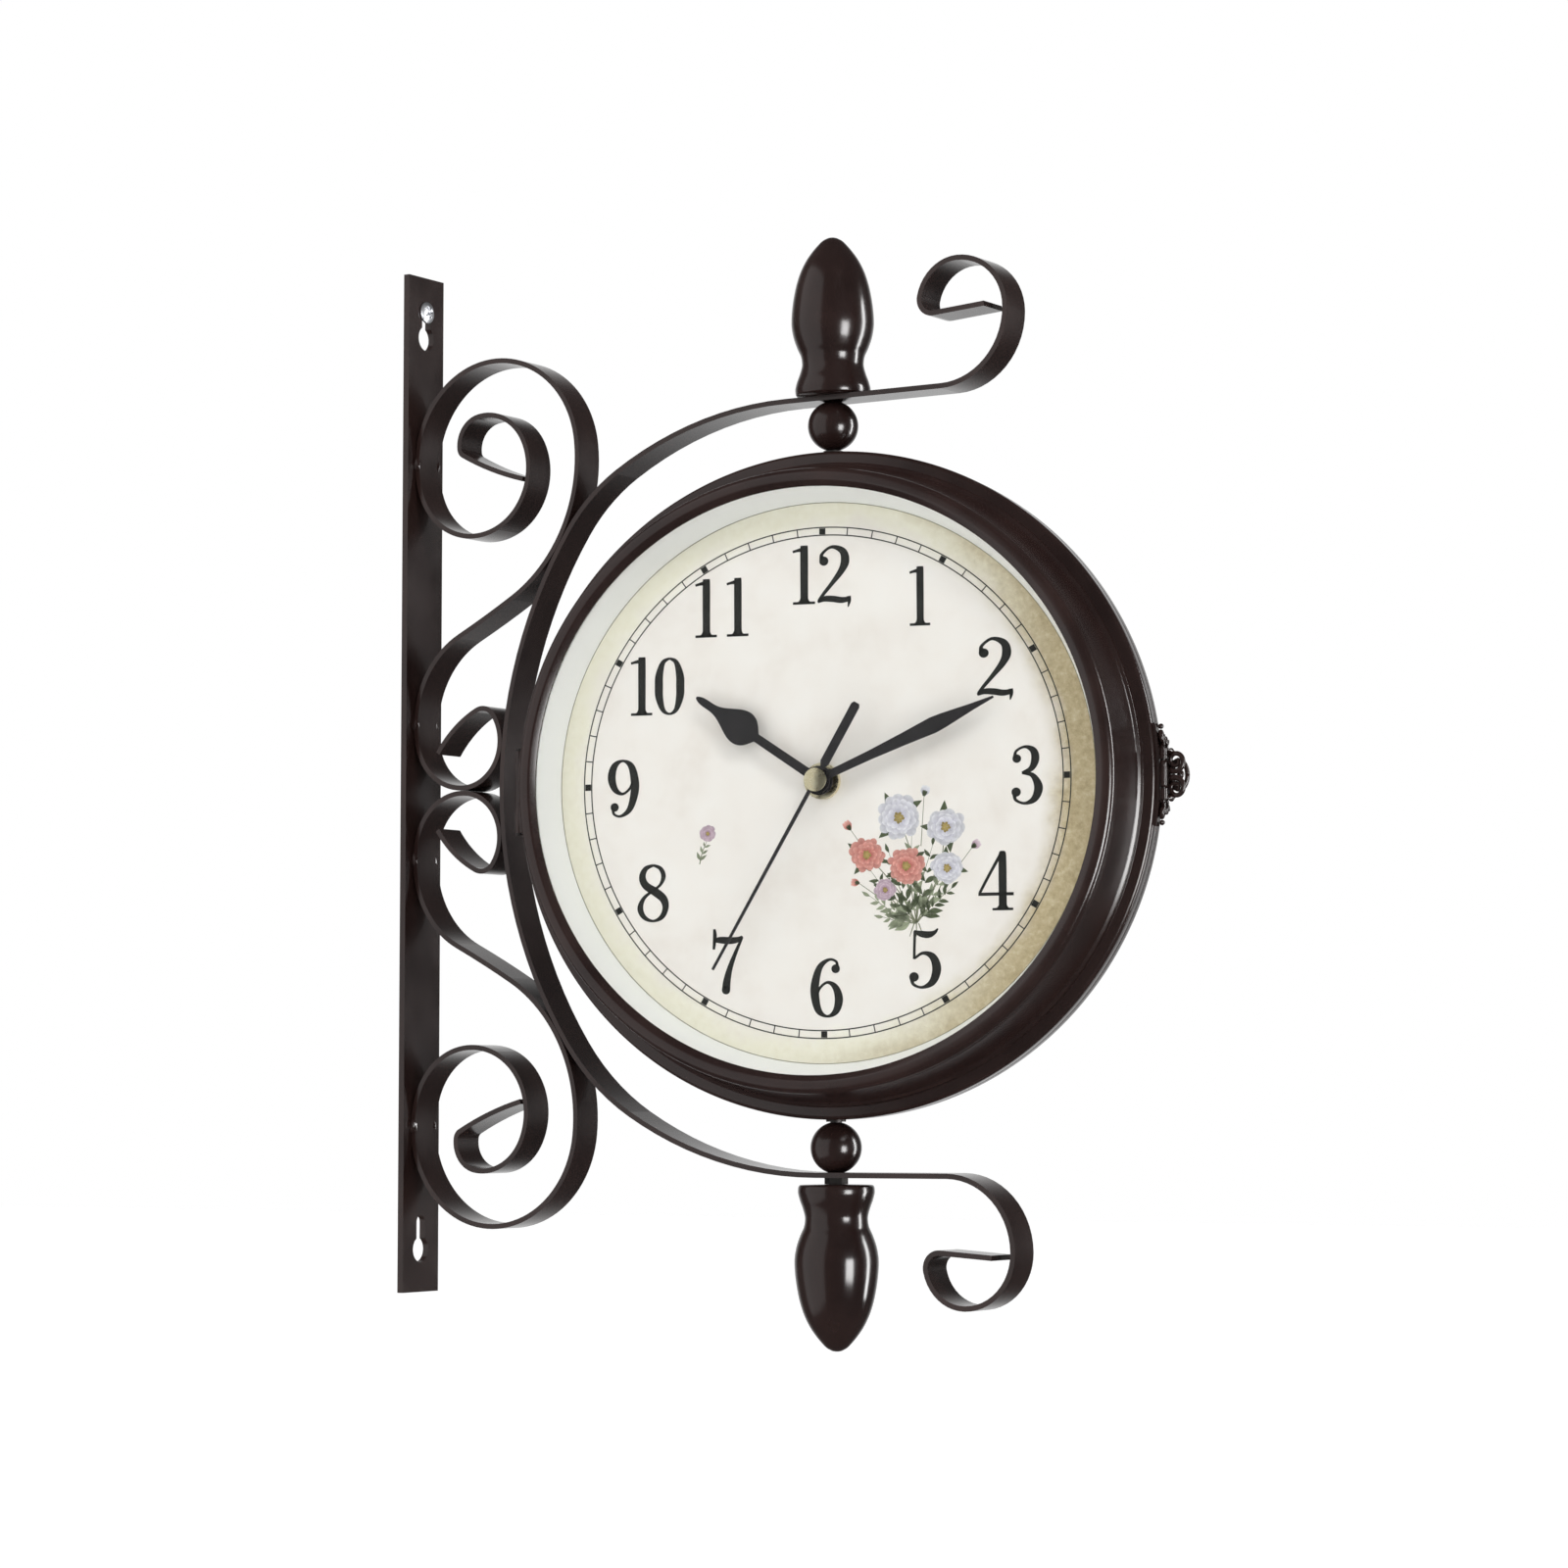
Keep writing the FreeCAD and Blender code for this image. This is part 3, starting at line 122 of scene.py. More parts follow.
class Print:
    """Flat printed shapes on a dial, gathered as one mesh with a colour at each point."""

    def __init__(self):
        self.xz, self.depth, self.tint, self.faces, self.count = [], [], [], [], 0

    def add(self, xz, blocks, colour, lift):
        """Points with their blocks of faces; the lift keeps one ink over another, and the colour is one
        for all points or one for each."""
        xz = np.asarray(xz, float)
        self.xz.append(xz)
        self.depth.append(np.full(len(xz), lift))
        self.tint.append(np.broadcast_to(np.asarray(colour, float), (len(xz), 3)))
        for faces in blocks:
            self.faces.append(faces + self.count)
        self.count += len(xz)

    def stroke(self, points, colour, lift=0.05, at=(0.0, 0.0), size=1.0, turn=0.0, per=10):
        """A pen stroke: a band about a smooth path, as wide as the third number of each point. A pair
        of colours runs from the first to the second along it."""
        path = smooth_path(points, per)
        run = np.gradient(path[:, :2], axis=0)
        run /= np.maximum(np.linalg.norm(run, axis=1), 1e-9)[:, None]
        beside = np.stack([-run[:, 1], run[:, 0]], 1) * path[:, 2:3] / 2
        both = np.stack([path[:, :2] + beside, path[:, :2] - beside], 1).reshape(-1, 2) * size
        c, s = math.cos(turn), math.sin(turn)
        both = both @ np.array([[c, s], [-s, c]]) + np.asarray(at)
        tone = np.atleast_2d(np.asarray(colour, float))
        share = np.repeat(np.linspace(0, 1, len(path)), 2)[:, None]
        self.add(both, [grid_faces(len(path), 2)], tone[0] * (1 - share) + tone[-1] * share, lift)

    def fit_width(self, first, wide, centre):
        """Stretch the shapes from index first on to a width and centre them on an x."""
        points = np.vstack(self.xz[first:])
        low, high = points[:, 0].min(), points[:, 0].max()
        for k in range(first, len(self.xz)):
            moved = np.array(self.xz[k])
            moved[:, 0] = (moved[:, 0] - 0.5 * (low + high)) * wide / (high - low) + centre
            self.xz[k] = moved

    def disc(self, x, z, radius, colour, lift=0.05, rays=40):
        """A filled spot: a fan of rays from its middle to a ring at 0.55 of the radius, and a band from
        there to the rim."""
        angle = np.linspace(0, 2 * math.pi, rays, endpoint=False)
        rim = radius * np.stack([np.cos(angle), np.sin(angle)], 1)
        points = np.vstack([0.55 * rim, rim, [[0.0, 0.0]]]) + (x, z)
        ray = np.arange(rays)
        fan = np.stack([ray, (ray + 1) % rays, np.full(rays, 2 * rays)], 1)
        self.add(points, [grid_faces(2, rays, wrap_columns=True), fan], colour, lift)

    def ring(self, r_low, r_high, colour, lift=0.05, steps=360):
        """A thin printed circle between two radii."""
        angle = np.linspace(0, 2 * math.pi, steps, endpoint=False)
        unit = np.stack([np.cos(angle), np.sin(angle)], 1)
        band = grid_faces(2, steps, wrap_columns=True)
        self.add(np.vstack([unit * r_low, unit * r_high]), [band], colour, lift)

    def build(self, name, side, body, material):
        """The gathered shapes as one object on that dial."""
        xz = np.vstack(self.xz)
        depth = np.concatenate(self.depth) + DIAL_DEPTH
        verts = to_row(side, xz[:, 0], xz[:, 1], depth)
        thing = add_mesh(name, verts, self.faces, tint=np.vstack(self.tint), smooth=False)
        thing.data.materials.append(material)
        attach(thing, body)
        return thing


# ------------------------------------------------------------------ materials
def new_material(name):
    """Empty node material with its surface node."""
    material = bpy.data.materials.new(name)
    material.use_nodes = True
    nodes = material.node_tree.nodes
    nodes.clear()
    out = nodes.new("ShaderNodeOutputMaterial")
    surface = nodes.new("ShaderNodeBsdfPrincipled")
    material.node_tree.links.new(surface.outputs["BSDF"], out.inputs["Surface"])
    return material, nodes, material.node_tree.links, surface


def noise(nodes, links, scale, detail=4.0, roughness=0.55):
    """Noise over object coordinates."""
    texture = nodes.new("ShaderNodeTexNoise")
    texture.inputs["Scale"].default_value = scale
    texture.inputs["Detail"].default_value = detail
    texture.inputs["Roughness"].default_value = roughness
    links.new(nodes.new("ShaderNodeTexCoord").outputs["Object"], texture.inputs["Vector"])
    return texture.outputs["Fac"]


def remap(nodes, links, value, low, high, to_low=0.0, to_high=1.0, smooth=False):
    """Map a value from one range to another, clamped."""
    node = nodes.new("ShaderNodeMapRange")
    node.interpolation_type = "SMOOTHSTEP" if smooth else "LINEAR"
    for socket, number in (("From Min", low), ("From Max", high), ("To Min", to_low), ("To Max", to_high)):
        node.inputs[socket].default_value = number
    links.new(value, node.inputs["Value"])
    return node.outputs["Result"]


def ramp(nodes, links, value, stops):
    """Colour ramp through (position, colour) stops."""
    node = nodes.new("ShaderNodeValToRGB")
    bar = node.color_ramp
    while len(bar.elements) < len(stops):
        bar.elements.new(0.5)
    for element, (place, colour) in zip(bar.elements, stops):
        element.position = place
        element.color = (*colour, 1.0)
    links.new(value, node.inputs["Fac"])
    return node.outputs["Color"]


def mix_colour(nodes, links, share, under, over):
    """One colour laid over another by a share from 0 to 1."""
    node = nodes.new("ShaderNodeMix")
    node.data_type = "RGBA"
    links.new(share, node.inputs[0])
    links.new(under, node.inputs[6])
    links.new(over, node.inputs[7])
    return node.outputs[2]


def combine(nodes, links, operation, first, second):
    """Sum or product of two values."""
    node = nodes.new("ShaderNodeMath")
    node.operation = operation
    links.new(first, node.inputs[0])
    links.new(second, node.inputs[1])
    return node.outputs["Value"]


def fine_grain(nodes, links, strength, surface):
    """The small pits of a moulded or plated face: noise of under a millimetre as a shallow bump."""
    node = nodes.new("ShaderNodeBump")
    node.inputs["Strength"].default_value = strength
    node.inputs["Distance"].default_value = 0.0001
    links.new(noise(nodes, links, 1500.0, 2.0), node.inputs["Height"])
    links.new(node.outputs["Normal"], surface.inputs["Normal"])


def mottled(name, dark, light, scale, rough, metallic=0.0, grain=0.0):
    """A finish whose colour and gloss drift together between two limits, with or without grain."""
    material, nodes, links, surface = new_material(name)
    drift = noise(nodes, links, scale)
    links.new(ramp(nodes, links, drift, [(0.3, dark), (0.7, light)]), surface.inputs["Base Color"])
    links.new(remap(nodes, links, drift, 0.3, 0.7, *rough), surface.inputs["Roughness"])
    surface.inputs["Metallic"].default_value = metallic
    if grain:
        fine_grain(nodes, links, grain, surface)
    return material


enamel = mottled("enamel", (0.015, 0.0078, 0.0070), (0.028, 0.0145, 0.0125), 35.0, (0.17, 0.23))
blackened = mottled("blackened steel", (0.018, 0.015, 0.015), (0.05, 0.045, 0.042), 120.0, (0.35, 0.5),
                    metallic=0.6, grain=0.2)
zinc = mottled("zinc", (0.50, 0.51, 0.54), (0.70, 0.71, 0.73), 90.0, (0.28, 0.42),
               metallic=1.0, grain=0.15)
ground = mottled("ground steel", (0.55, 0.55, 0.56), (0.70, 0.70, 0.71), 300.0, (0.2, 0.3), metallic=1.0)
white = mottled("white plastic", (0.925, 0.925, 0.915), (0.955, 0.955, 0.945), 18.0, (0.45, 0.55),
                grain=0.08)
lacquer = mottled("hand lacquer", (0.014, 0.012, 0.014), (0.024, 0.020, 0.023), 160.0, (0.38, 0.5))
brass = mottled("brass", (0.70, 0.61, 0.40), (0.86, 0.79, 0.58), 260.0, (0.22, 0.34), metallic=1.0)
plastic = mottled("black plastic", (0.016, 0.016, 0.017), (0.034, 0.034, 0.035), 60.0, (0.5, 0.62),
                  grain=0.35)
rubber = mottled("rubber", (0.014, 0.014, 0.014), (0.03, 0.03, 0.03), 70.0, (0.7, 0.85), grain=0.3)
sleeve = mottled("cell sleeve", (0.04, 0.05, 0.08), (0.07, 0.08, 0.12), 50.0, (0.25, 0.35))


def clear_glass():
    """Thin flat glass: mostly see-through, with a reflection that grows towards grazing view."""
    material = bpy.data.materials.new("clear glass")
    material.use_nodes = True
    nodes = material.node_tree.nodes
    links = material.node_tree.links
    nodes.clear()
    out = nodes.new("ShaderNodeOutputMaterial")
    see = nodes.new("ShaderNodeBsdfTransparent")
    see.inputs["Color"].default_value = (0.985, 0.992, 0.988, 1.0)
    shine = nodes.new("ShaderNodeBsdfGlossy")
    shine.inputs["Roughness"].default_value = 0.03
    facing = nodes.new("ShaderNodeLayerWeight")
    facing.inputs["Blend"].default_value = 0.10
    smear = remap(nodes, links, noise(nodes, links, 14.0, 2.0), 0.2, 0.8, 0.94, 1.0)
    weight = combine(nodes, links, "MULTIPLY", facing.outputs["Fresnel"], smear)
    both = nodes.new("ShaderNodeMixShader")
    links.new(weight, both.inputs["Fac"])
    links.new(see.outputs["BSDF"], both.inputs[1])
    links.new(shine.outputs["BSDF"], both.inputs[2])
    links.new(both.outputs["Shader"], out.inputs["Surface"])
    return material


def dial_paper(side):
    """Cream dial whose border drifts from pale yellow on one side to mottled khaki on the other. The
    radius is waved by up to 4 mm, and the border comes in as it eases from 84 to 94 mm on the pale
    side and from 78.5 to 90.5 mm on the khaki one. The side factor is the reach to the right and a
    little down, eased from 18 to 84 mm. The outermost 5 mm turn khaki all along that side. Behind
    the printed face the dial is bare card."""
    facing = FACING[side]
    material, nodes, links, surface = new_material("dial paper " + side)
    shift = nodes.new("ShaderNodeVectorMath")
    shift.operation = "SUBTRACT"
    links.new(nodes.new("ShaderNodeTexCoord").outputs["Object"], shift.inputs[0])
    shift.inputs[1].default_value = (AXIS_X * MM, 0.0, -DROP * MM)

    def along(direction):
        """Reach from the dial's middle along a direction, in metres."""
        dot = nodes.new("ShaderNodeVectorMath")
        dot.operation = "DOT_PRODUCT"
        links.new(shift.outputs["Vector"], dot.inputs[0])
        dot.inputs[1].default_value = direction
        return dot.outputs["Value"]

    length = nodes.new("ShaderNodeVectorMath")
    length.operation = "LENGTH"
    links.new(shift.outputs["Vector"], length.inputs[0])
    across, down = 0.990, 0.139
    right = along((facing * across * COS, facing * across * SIN, -down))
    side_factor = remap(nodes, links, right, 0.018, 0.084, 0.0, 1.0, smooth=True)
    blotch = noise(nodes, links, 55.0, 8.0, 0.65)
    fine = noise(nodes, links, 420.0, 6.0, 0.7)
    cream = ramp(nodes, links, blotch, [(0.30, (0.820, 0.762, 0.715)), (0.50, (0.868, 0.820, 0.780)),
                                        (0.68, (0.886, 0.846, 0.812))])
    khaki = ramp(nodes, links, fine, [(0.30, (0.40, 0.315, 0.185)), (0.52, (0.52, 0.425, 0.262)),
                                      (0.76, (0.67, 0.60, 0.42))])
    pale = ramp(nodes, links, fine, [(0.30, (0.835, 0.795, 0.645)), (0.70, (0.905, 0.875, 0.745))])
    card = ramp(nodes, links, fine, [(0.30, (0.70, 0.66, 0.58)), (0.70, (0.77, 0.735, 0.66))])
    wave = remap(nodes, links, blotch, 0.25, 0.75, -0.004, 0.004)
    radius = combine(nodes, links, "ADD", length.outputs["Value"], wave)
    border = nodes.new("ShaderNodeMapRange")
    border.interpolation_type = "SMOOTHSTEP"
    links.new(radius, border.inputs["Value"])
    links.new(remap(nodes, links, side_factor, 0.0, 1.0, 0.084, 0.0785), border.inputs["From Min"])
    links.new(remap(nodes, links, side_factor, 0.0, 1.0, 0.094, 0.0905), border.inputs["From Max"])
    border_tone = mix_colour(nodes, links, side_factor, pale, khaki)
    bordered = mix_colour(nodes, links, border.outputs["Result"], cream, border_tone)
    outermost = remap(nodes, links, radius, 0.0915, 0.0975, smooth=True)
    khaki_side = remap(nodes, links, right, -0.01, 0.055, 0.0, 0.55, smooth=True)
    rim = combine(nodes, links, "MULTIPLY", outermost, khaki_side)
    shaded = mix_colour(nodes, links, rim, bordered, khaki)
    printed = remap(nodes, links, along((facing * SIN, -facing * COS, 0.0)), 0.0119, 0.0122)
    links.new(mix_colour(nodes, links, printed, card, shaded), surface.inputs["Base Color"])
    links.new(remap(nodes, links, fine, 0.3, 0.7, 0.6, 0.72), surface.inputs["Roughness"])
    surface.inputs["Specular IOR Level"].default_value = 0.3
    return material


def ink():
    """Printing ink in the colour kept at each point, broken up a little by the paper's grain."""
    material, nodes, links, surface = new_material("printing ink")
    layer = nodes.new("ShaderNodeAttribute")
    layer.attribute_name = "tint"
    worn = remap(nodes, links, noise(nodes, links, 700.0, 4.0), 0.3, 0.7, 0.86, 1.12)
    scaled = nodes.new("ShaderNodeVectorMath")
    scaled.operation = "SCALE"
    links.new(layer.outputs["Color"], scaled.inputs[0])
    links.new(worn, scaled.inputs["Scale"])
    links.new(scaled.outputs["Vector"], surface.inputs["Base Color"])
    links.new(remap(nodes, links, worn, 0.86, 1.12, 0.6, 0.7), surface.inputs["Roughness"])
    surface.inputs["Specular IOR Level"].default_value = 0.3
    return material


print_ink = ink()
glass = clear_glass()
by_slot = {
    "dark_enamel": enamel, "dark_steel": blackened, "bare_steel": zinc, "steel_arbor": ground,
    "glass": glass, "white_plastic": white, "hand_black": lacquer, "brass": brass,
    "black_plastic": plastic, "rubber": rubber, "battery_wrap": sleeve,
}
slots = {entry["node"]: entry["material_slot"] for entry in frame["record"]["subparts"]}
for node, thing in frame["nodes"].items():
    if slots[node] == "dial_print":
        finish = dial_paper(node.split("_")[0])
    else:
        finish = by_slot[slots[node]]
    if not thing.material_slots:
        thing.data.materials.append(finish)
    for place in thing.material_slots:
        place.material = finish

# ------------------------------------------------------------------ numerals
INK = (0.022, 0.022, 0.020)
TRACK_INK = (0.045, 0.045, 0.040)
BORDER_INK = (0.26, 0.24, 0.16)
# Radii of the track's two lines and of the line round the border.
TRACK_LINES = ((84.72, 85.14), (87.40, 87.82))
BORDER_LINE = (96.05, 96.4)
FIGURE_HEIGHT = 20.0
# Each figure stands on a baseline at 0: its ink width, strokes of (x, y, width) points and balls of
# (x, y, radius). Thick sides, thin joins, ball ends.
FIGURES = {
    "0": (10.6, [[(5.3, 19.7, 0.8), (2.9, 18.2, 1.7), (1.55, 13.8, 2.8), (1.4, 10.0, 3.0), (1.55, 6.2, 2.8),
                  (2.9, 1.8, 1.7), (5.3, 0.3, 0.8), (7.7, 1.8, 1.7), (9.05, 6.2, 2.8), (9.2, 10.0, 3.0),
                  (9.05, 13.8, 2.8), (7.7, 18.2, 1.7), (5.3, 19.7, 0.8)]], []),
    "1": (7.4, [[(4.0, 20.0, 1.9), (4.0, 18.9, 2.7), (4.0, 3.0, 2.7), (4.0, 0.5, 2.8)],
                [(0.0, 0.45, 0.9), (3.9, 0.45, 0.9), (7.8, 0.45, 0.9)],
                [(1.6, 0.5, 0.4), (2.7, 1.0, 1.1), (3.1, 2.6, 0.5)],
                [(6.3, 0.5, 0.4), (5.2, 1.0, 1.1), (4.9, 2.6, 0.5)],
                [(0.0, 18.3, 0.85), (1.5, 18.7, 1.0), (3.3, 19.0, 1.5)]], []),
    "2": (12.2, [[(1.9, 15.0, 2.0), (1.9, 17.2, 1.1), (5.2, 19.5, 1.1), (9.0, 18.0, 2.4), (9.9, 14.6, 3.0),
                  (8.6, 11.2, 2.3), (5.4, 7.0, 1.5), (2.4, 3.4, 1.2), (0.7, 1.1, 1.0)],
                 [(0.3, 0.6, 0.9), (2.6, 1.6, 1.9), (5.6, 1.5, 2.2), (8.6, 1.0, 2.1), (11.3, 1.3, 1.6)],
                 [(11.1, 2.3, 1.5), (11.3, 0.6, 1.2), (10.9, -1.5, 0.35)]], [(2.5, 14.7, 1.6)]),
    "3": (10.9, [[(1.7, 15.9, 1.3), (2.3, 18.2, 0.9), (5.2, 19.55, 1.0), (7.9, 18.2, 2.3), (8.5, 15.3, 2.7),
                  (7.2, 12.2, 1.9), (4.1, 10.75, 0.8)],
                 [(4.1, 10.75, 0.8), (7.6, 9.8, 1.7), (9.5, 5.9, 2.9), (8.2, 2.0, 2.3), (5.0, 0.45, 1.0),
                  (2.0, 1.6, 1.0), (1.5, 3.8, 1.4)]], [(2.4, 15.6, 1.45), (2.1, 4.3, 1.55)]),
    "4": (12.0, [[(8.2, 19.6, 1.1), (4.4, 12.9, 1.0), (0.7, 6.0, 0.95)], [(0.2, 5.5, 1.1), (12.1, 5.5, 1.1)],
                 [(8.4, 20.0, 1.6), (8.4, 17.6, 2.6), (8.4, 3.0, 2.7), (8.4, 0.5, 2.8)],
                 [(4.9, 0.4, 0.8), (8.4, 0.42, 0.9), (11.9, 0.4, 0.8)],
                 [(6.2, 0.5, 0.4), (7.2, 1.0, 1.1), (7.6, 2.4, 0.5)],
                 [(10.6, 0.5, 0.4), (9.6, 1.0, 1.1), (9.2, 2.4, 0.5)]], []),
    "5": (11.2, [[(2.2, 19.6, 0.5), (4.2, 18.6, 2.0), (6.9, 18.2, 2.3), (9.0, 18.9, 1.4), (10.2, 20.2, 0.5)],
                 [(2.5, 19.4, 1.0), (2.3, 14.6, 0.9), (2.2, 10.0, 0.9)],
                 [(2.2, 10.2, 0.8), (5.2, 12.0, 1.1), (8.4, 10.7, 2.4), (9.7, 6.7, 3.0), (8.3, 2.3, 2.4),
                  (4.9, 0.45, 1.0), (2.0, 1.4, 1.0), (1.3, 3.4, 1.4)]], [(2.1, 4.0, 1.6)]),
    "6": (11.5, [[(9.4, 16.8, 1.3), (9.0, 18.9, 0.9), (6.5, 19.6, 1.0), (3.3, 17.2, 2.1), (1.6, 11.8, 2.9),
                  (1.5, 7.2, 3.0), (2.8, 2.3, 2.3), (5.8, 0.4, 0.9), (8.8, 2.1, 2.3), (9.9, 6.2, 2.9),
                  (8.7, 10.2, 2.2), (6.0, 11.9, 1.0), (3.4, 10.2, 0.9), (2.2, 7.6, 0.8)]],
          [(8.8, 16.5, 1.5)]),
    "7": (10.9, [[(0.6, 22.4, 0.9), (0.8, 20.0, 1.4), (0.4, 15.4, 0.9)],
                 [(0.7, 18.6, 1.4), (3.0, 18.6, 2.3), (6.4, 18.4, 2.4), (9.0, 18.7, 1.9), (10.8, 19.7, 0.9)],
                 [(10.6, 19.4, 0.9), (8.4, 14.6, 1.3), (6.4, 9.6, 1.9), (5.2, 5.0, 2.6), (4.8, 1.6, 3.0)]],
          [(4.8, 1.5, 1.5)]),
    "8": (11.3, [[(5.7, 19.65, 0.9), (3.0, 18.4, 1.7), (1.9, 15.5, 2.3), (3.1, 12.6, 2.6), (6.3, 10.4, 2.9),
                  (9.1, 7.9, 2.7), (9.8, 4.8, 2.1), (8.5, 1.7, 1.7), (5.6, 0.35, 0.9), (2.6, 1.6, 1.6),
                  (1.2, 4.7, 2.0), (2.4, 8.2, 1.3), (5.3, 10.7, 0.9), (8.0, 12.8, 1.0), (9.1, 15.8, 1.6),
                  (8.1, 18.4, 1.4), (5.7, 19.65, 0.9)]], []),
}
NINE_WIDE, SIX_STROKES, SIX_BALLS = FIGURES["6"]
FIGURES["9"] = (
    NINE_WIDE,
    [[(NINE_WIDE - x, FIGURE_HEIGHT - y, wide) for x, y, wide in line] for line in SIX_STROKES],
    [(NINE_WIDE - x, FIGURE_HEIGHT - y, radius) for x, y, radius in SIX_BALLS],
)
# Middle of each hour, its width, and the gap between its two figures.
HOURS = {
    "12": (-0.3, 71.2, 21.2, 1.0), "1": (34.9, 62.3, 7.4, 0.0), "2": (61.3, 37.4, 12.9, 0.0),
    "3": (72.3, 0.3, 11.0, 0.0), "4": (61.1, -35.1, 12.4, 0.0), "5": (36.0, -61.1, 11.3, 0.0),
    "6": (0.9, -70.5, 11.7, 0.0), "7": (-34.7, -62.3, 11.2, 0.0), "8": (-62.1, -37.1, 11.6, 0.0),
    "9": (-73.1, -0.6, 11.7, 0.0), "10": (-60.5, 34.6, 19.9, 1.4), "11": (-36.8, 61.0, 19.6, 4.0),
}


def numerals(sheet):
    """The twelve hours, upright, each fitted to its own width about its middle."""
    for text, (middle_x, middle_z, wide, gap) in HOURS.items():
        first = len(sheet.xz)
        x, base = 0.0, middle_z - FIGURE_HEIGHT / 2
        for figure in text:
            advance, strokes, balls = FIGURES[figure]
            for points in strokes:
                sheet.stroke(points, INK, at=(x, base))
            for ball_x, ball_z, radius in balls:
                sheet.disc(x + ball_x, base + ball_z, radius, INK)
            x += advance + gap
        sheet.fit_width(first, wide, middle_x)


def minute_track(sheet):
    """Two thin circles, a tick at every minute between them, a dark spot at every hour, and a line
    round the border."""
    for low, high in TRACK_LINES:
        sheet.ring(low, high, TRACK_INK)
    sheet.ring(*BORDER_LINE, BORDER_INK)
    for minute in range(60):
        angle = math.radians(6 * minute)
        x, z = math.sin(angle), math.cos(angle)
        if minute % 5:
            sheet.stroke([(84.9 * x, 84.9 * z, 0.4), (87.6 * x, 87.6 * z, 0.4)], TRACK_INK, per=2)
        else:
            sheet.stroke([(85.2 * x, 85.2 * z, 2.2), (87.3 * x, 87.3 * z, 2.2)], INK, lift=0.06, per=2)


# ------------------------------------------------------------------ generic flower print
PETAL_LIFT = 0.03


def leaf(sheet, x, z, length, turn, colour):
    """A pointed leaf: a stroke that swells to 0.36 of its length and closes, with a darker vein."""
    wide = 0.36 * length
    dark = tuple(0.72 * tone for tone in colour)
    points = [(0.0, 0.0, 0.15), (0.25 * length, 0.03 * length, 0.8 * wide),
              (0.5 * length, 0.05 * length, wide), (0.8 * length, 0.02 * length, 0.5 * wide),
              (length, 0.0, 0.05)]
    sheet.stroke(points, colour, lift=0.02, at=(x, z), turn=turn)
    vein = [(0.0, 0.0, 0.22), (0.5 * length, 0.05 * length, 0.16), (0.9 * length, 0.01 * length, 0.05)]
    sheet.stroke(vein, dark, lift=0.026, at=(x, z), turn=turn)


def flower(sheet, x, z, radius, petals, tones, heart, seed, tilt=1.0):
    """A rayed flower: three rounds of petals that pale towards their tips, each a little off in
    length, width and bearing, with a vein, about a heart of small seeds set on a spiral. A tilt
    under 1 shortens the petals that point up and down."""
    chance = np.random.default_rng(seed)
    deep, light = np.array(tones[0]), np.array(tones[1])
    count = 0
    for reach, shade in ((1.0, 0.90), (0.80, 1.0), (0.56, 1.06)):
        for k in range(petals):
            a = 2 * math.pi * (k + 0.37 * count / petals) / petals + chance.uniform(-0.10, 0.10)
            long = radius * reach * chance.uniform(0.86, 1.06) * (tilt + (1 - tilt) * abs(math.cos(a)))
            width = 2.0 * radius * reach * math.sin(math.pi / petals) * chance.uniform(0.85, 1.1)
            step = PETAL_LIFT + 0.0006 * count
            tone = np.clip(shade * chance.uniform(0.94, 1.04), 0, 1.1)
            points = [(0.06 * radius, 0, 0.25 * width), (0.5 * long, 0.02 * long, 0.85 * width),
                      (0.8 * long, 0, width), (0.95 * long, 0, 0.6 * width), (long, 0, 0.1 * width)]
            colours = (deep * tone, np.minimum(light * tone, 0.9))
            sheet.stroke(points, colours, lift=step, at=(x, z), turn=a, per=5)
            sheet.stroke([(0.15 * long, 0, 0.10), (0.72 * long, 0, 0.05)], deep * 0.72, lift=step + 0.0003,
                         at=(x, z), turn=a, per=3)
            count += 1
    for k in range(16):
        r = 0.055 * radius * math.sqrt(k)
        a = 2.4 * k
        sheet.disc(x + r * math.cos(a), z + r * math.sin(a), 0.062 * radius,
                   np.array(heart) * (1.25 - 0.035 * k), lift=PETAL_LIFT + 0.0006 * count + 0.0004 * k)


def bud(sheet, x, z, size, turn, tones, green):
    """A closed bud: three lapped petals in a green cup."""
    for swing in (0.35, -0.35, 0.0):
        petal = [(0, 0, 0.35 * size), (0.5 * size, 0, 0.62 * size), (size, 0, 0.12 * size)]
        sheet.stroke(petal, tones, lift=0.030 + 0.002 * (swing == 0.0), at=(x, z), turn=turn + swing, per=6)
        cup = [(-0.1 * size, 0, 0.3 * size), (0.25 * size, 0, 0.3 * size), (0.5 * size, 0, 0.05 * size)]
        sheet.stroke(cup, green, lift=0.034, at=(x, z), turn=turn + 1.3 * swing, per=5)


def sprig(sheet, x, z, turn, length, pairs, leaf_length, colour, stem, seed):
    """A twig with paired leaves that shrink towards its tip and sit a little unevenly."""
    chance = np.random.default_rng(seed)
    c, s = math.cos(turn), math.sin(turn)
    sheet.stroke([(0, 0, 0.45), (0.5 * length, 0.04 * length, 0.32), (length, 0, 0.14)], stem, lift=0.012,
                 at=(x, z), turn=turn)
    for k in range(pairs):
        for swing in (0.75, -0.75):
            along = length * (0.18 + 0.8 * k / pairs + chance.uniform(-0.04, 0.04))
            size = leaf_length * (1 - 0.5 * k / pairs) * chance.uniform(0.8, 1.15)
            tone = chance.uniform(0.8, 1.25)
            bearing = turn + swing + chance.uniform(-0.2, 0.2)
            leaf(sheet, x + along * c, z + along * s, size, bearing, tuple(tone * v for v in colour))
    leaf(sheet, x + length * c, z + length * s, 0.6 * leaf_length, turn, colour)


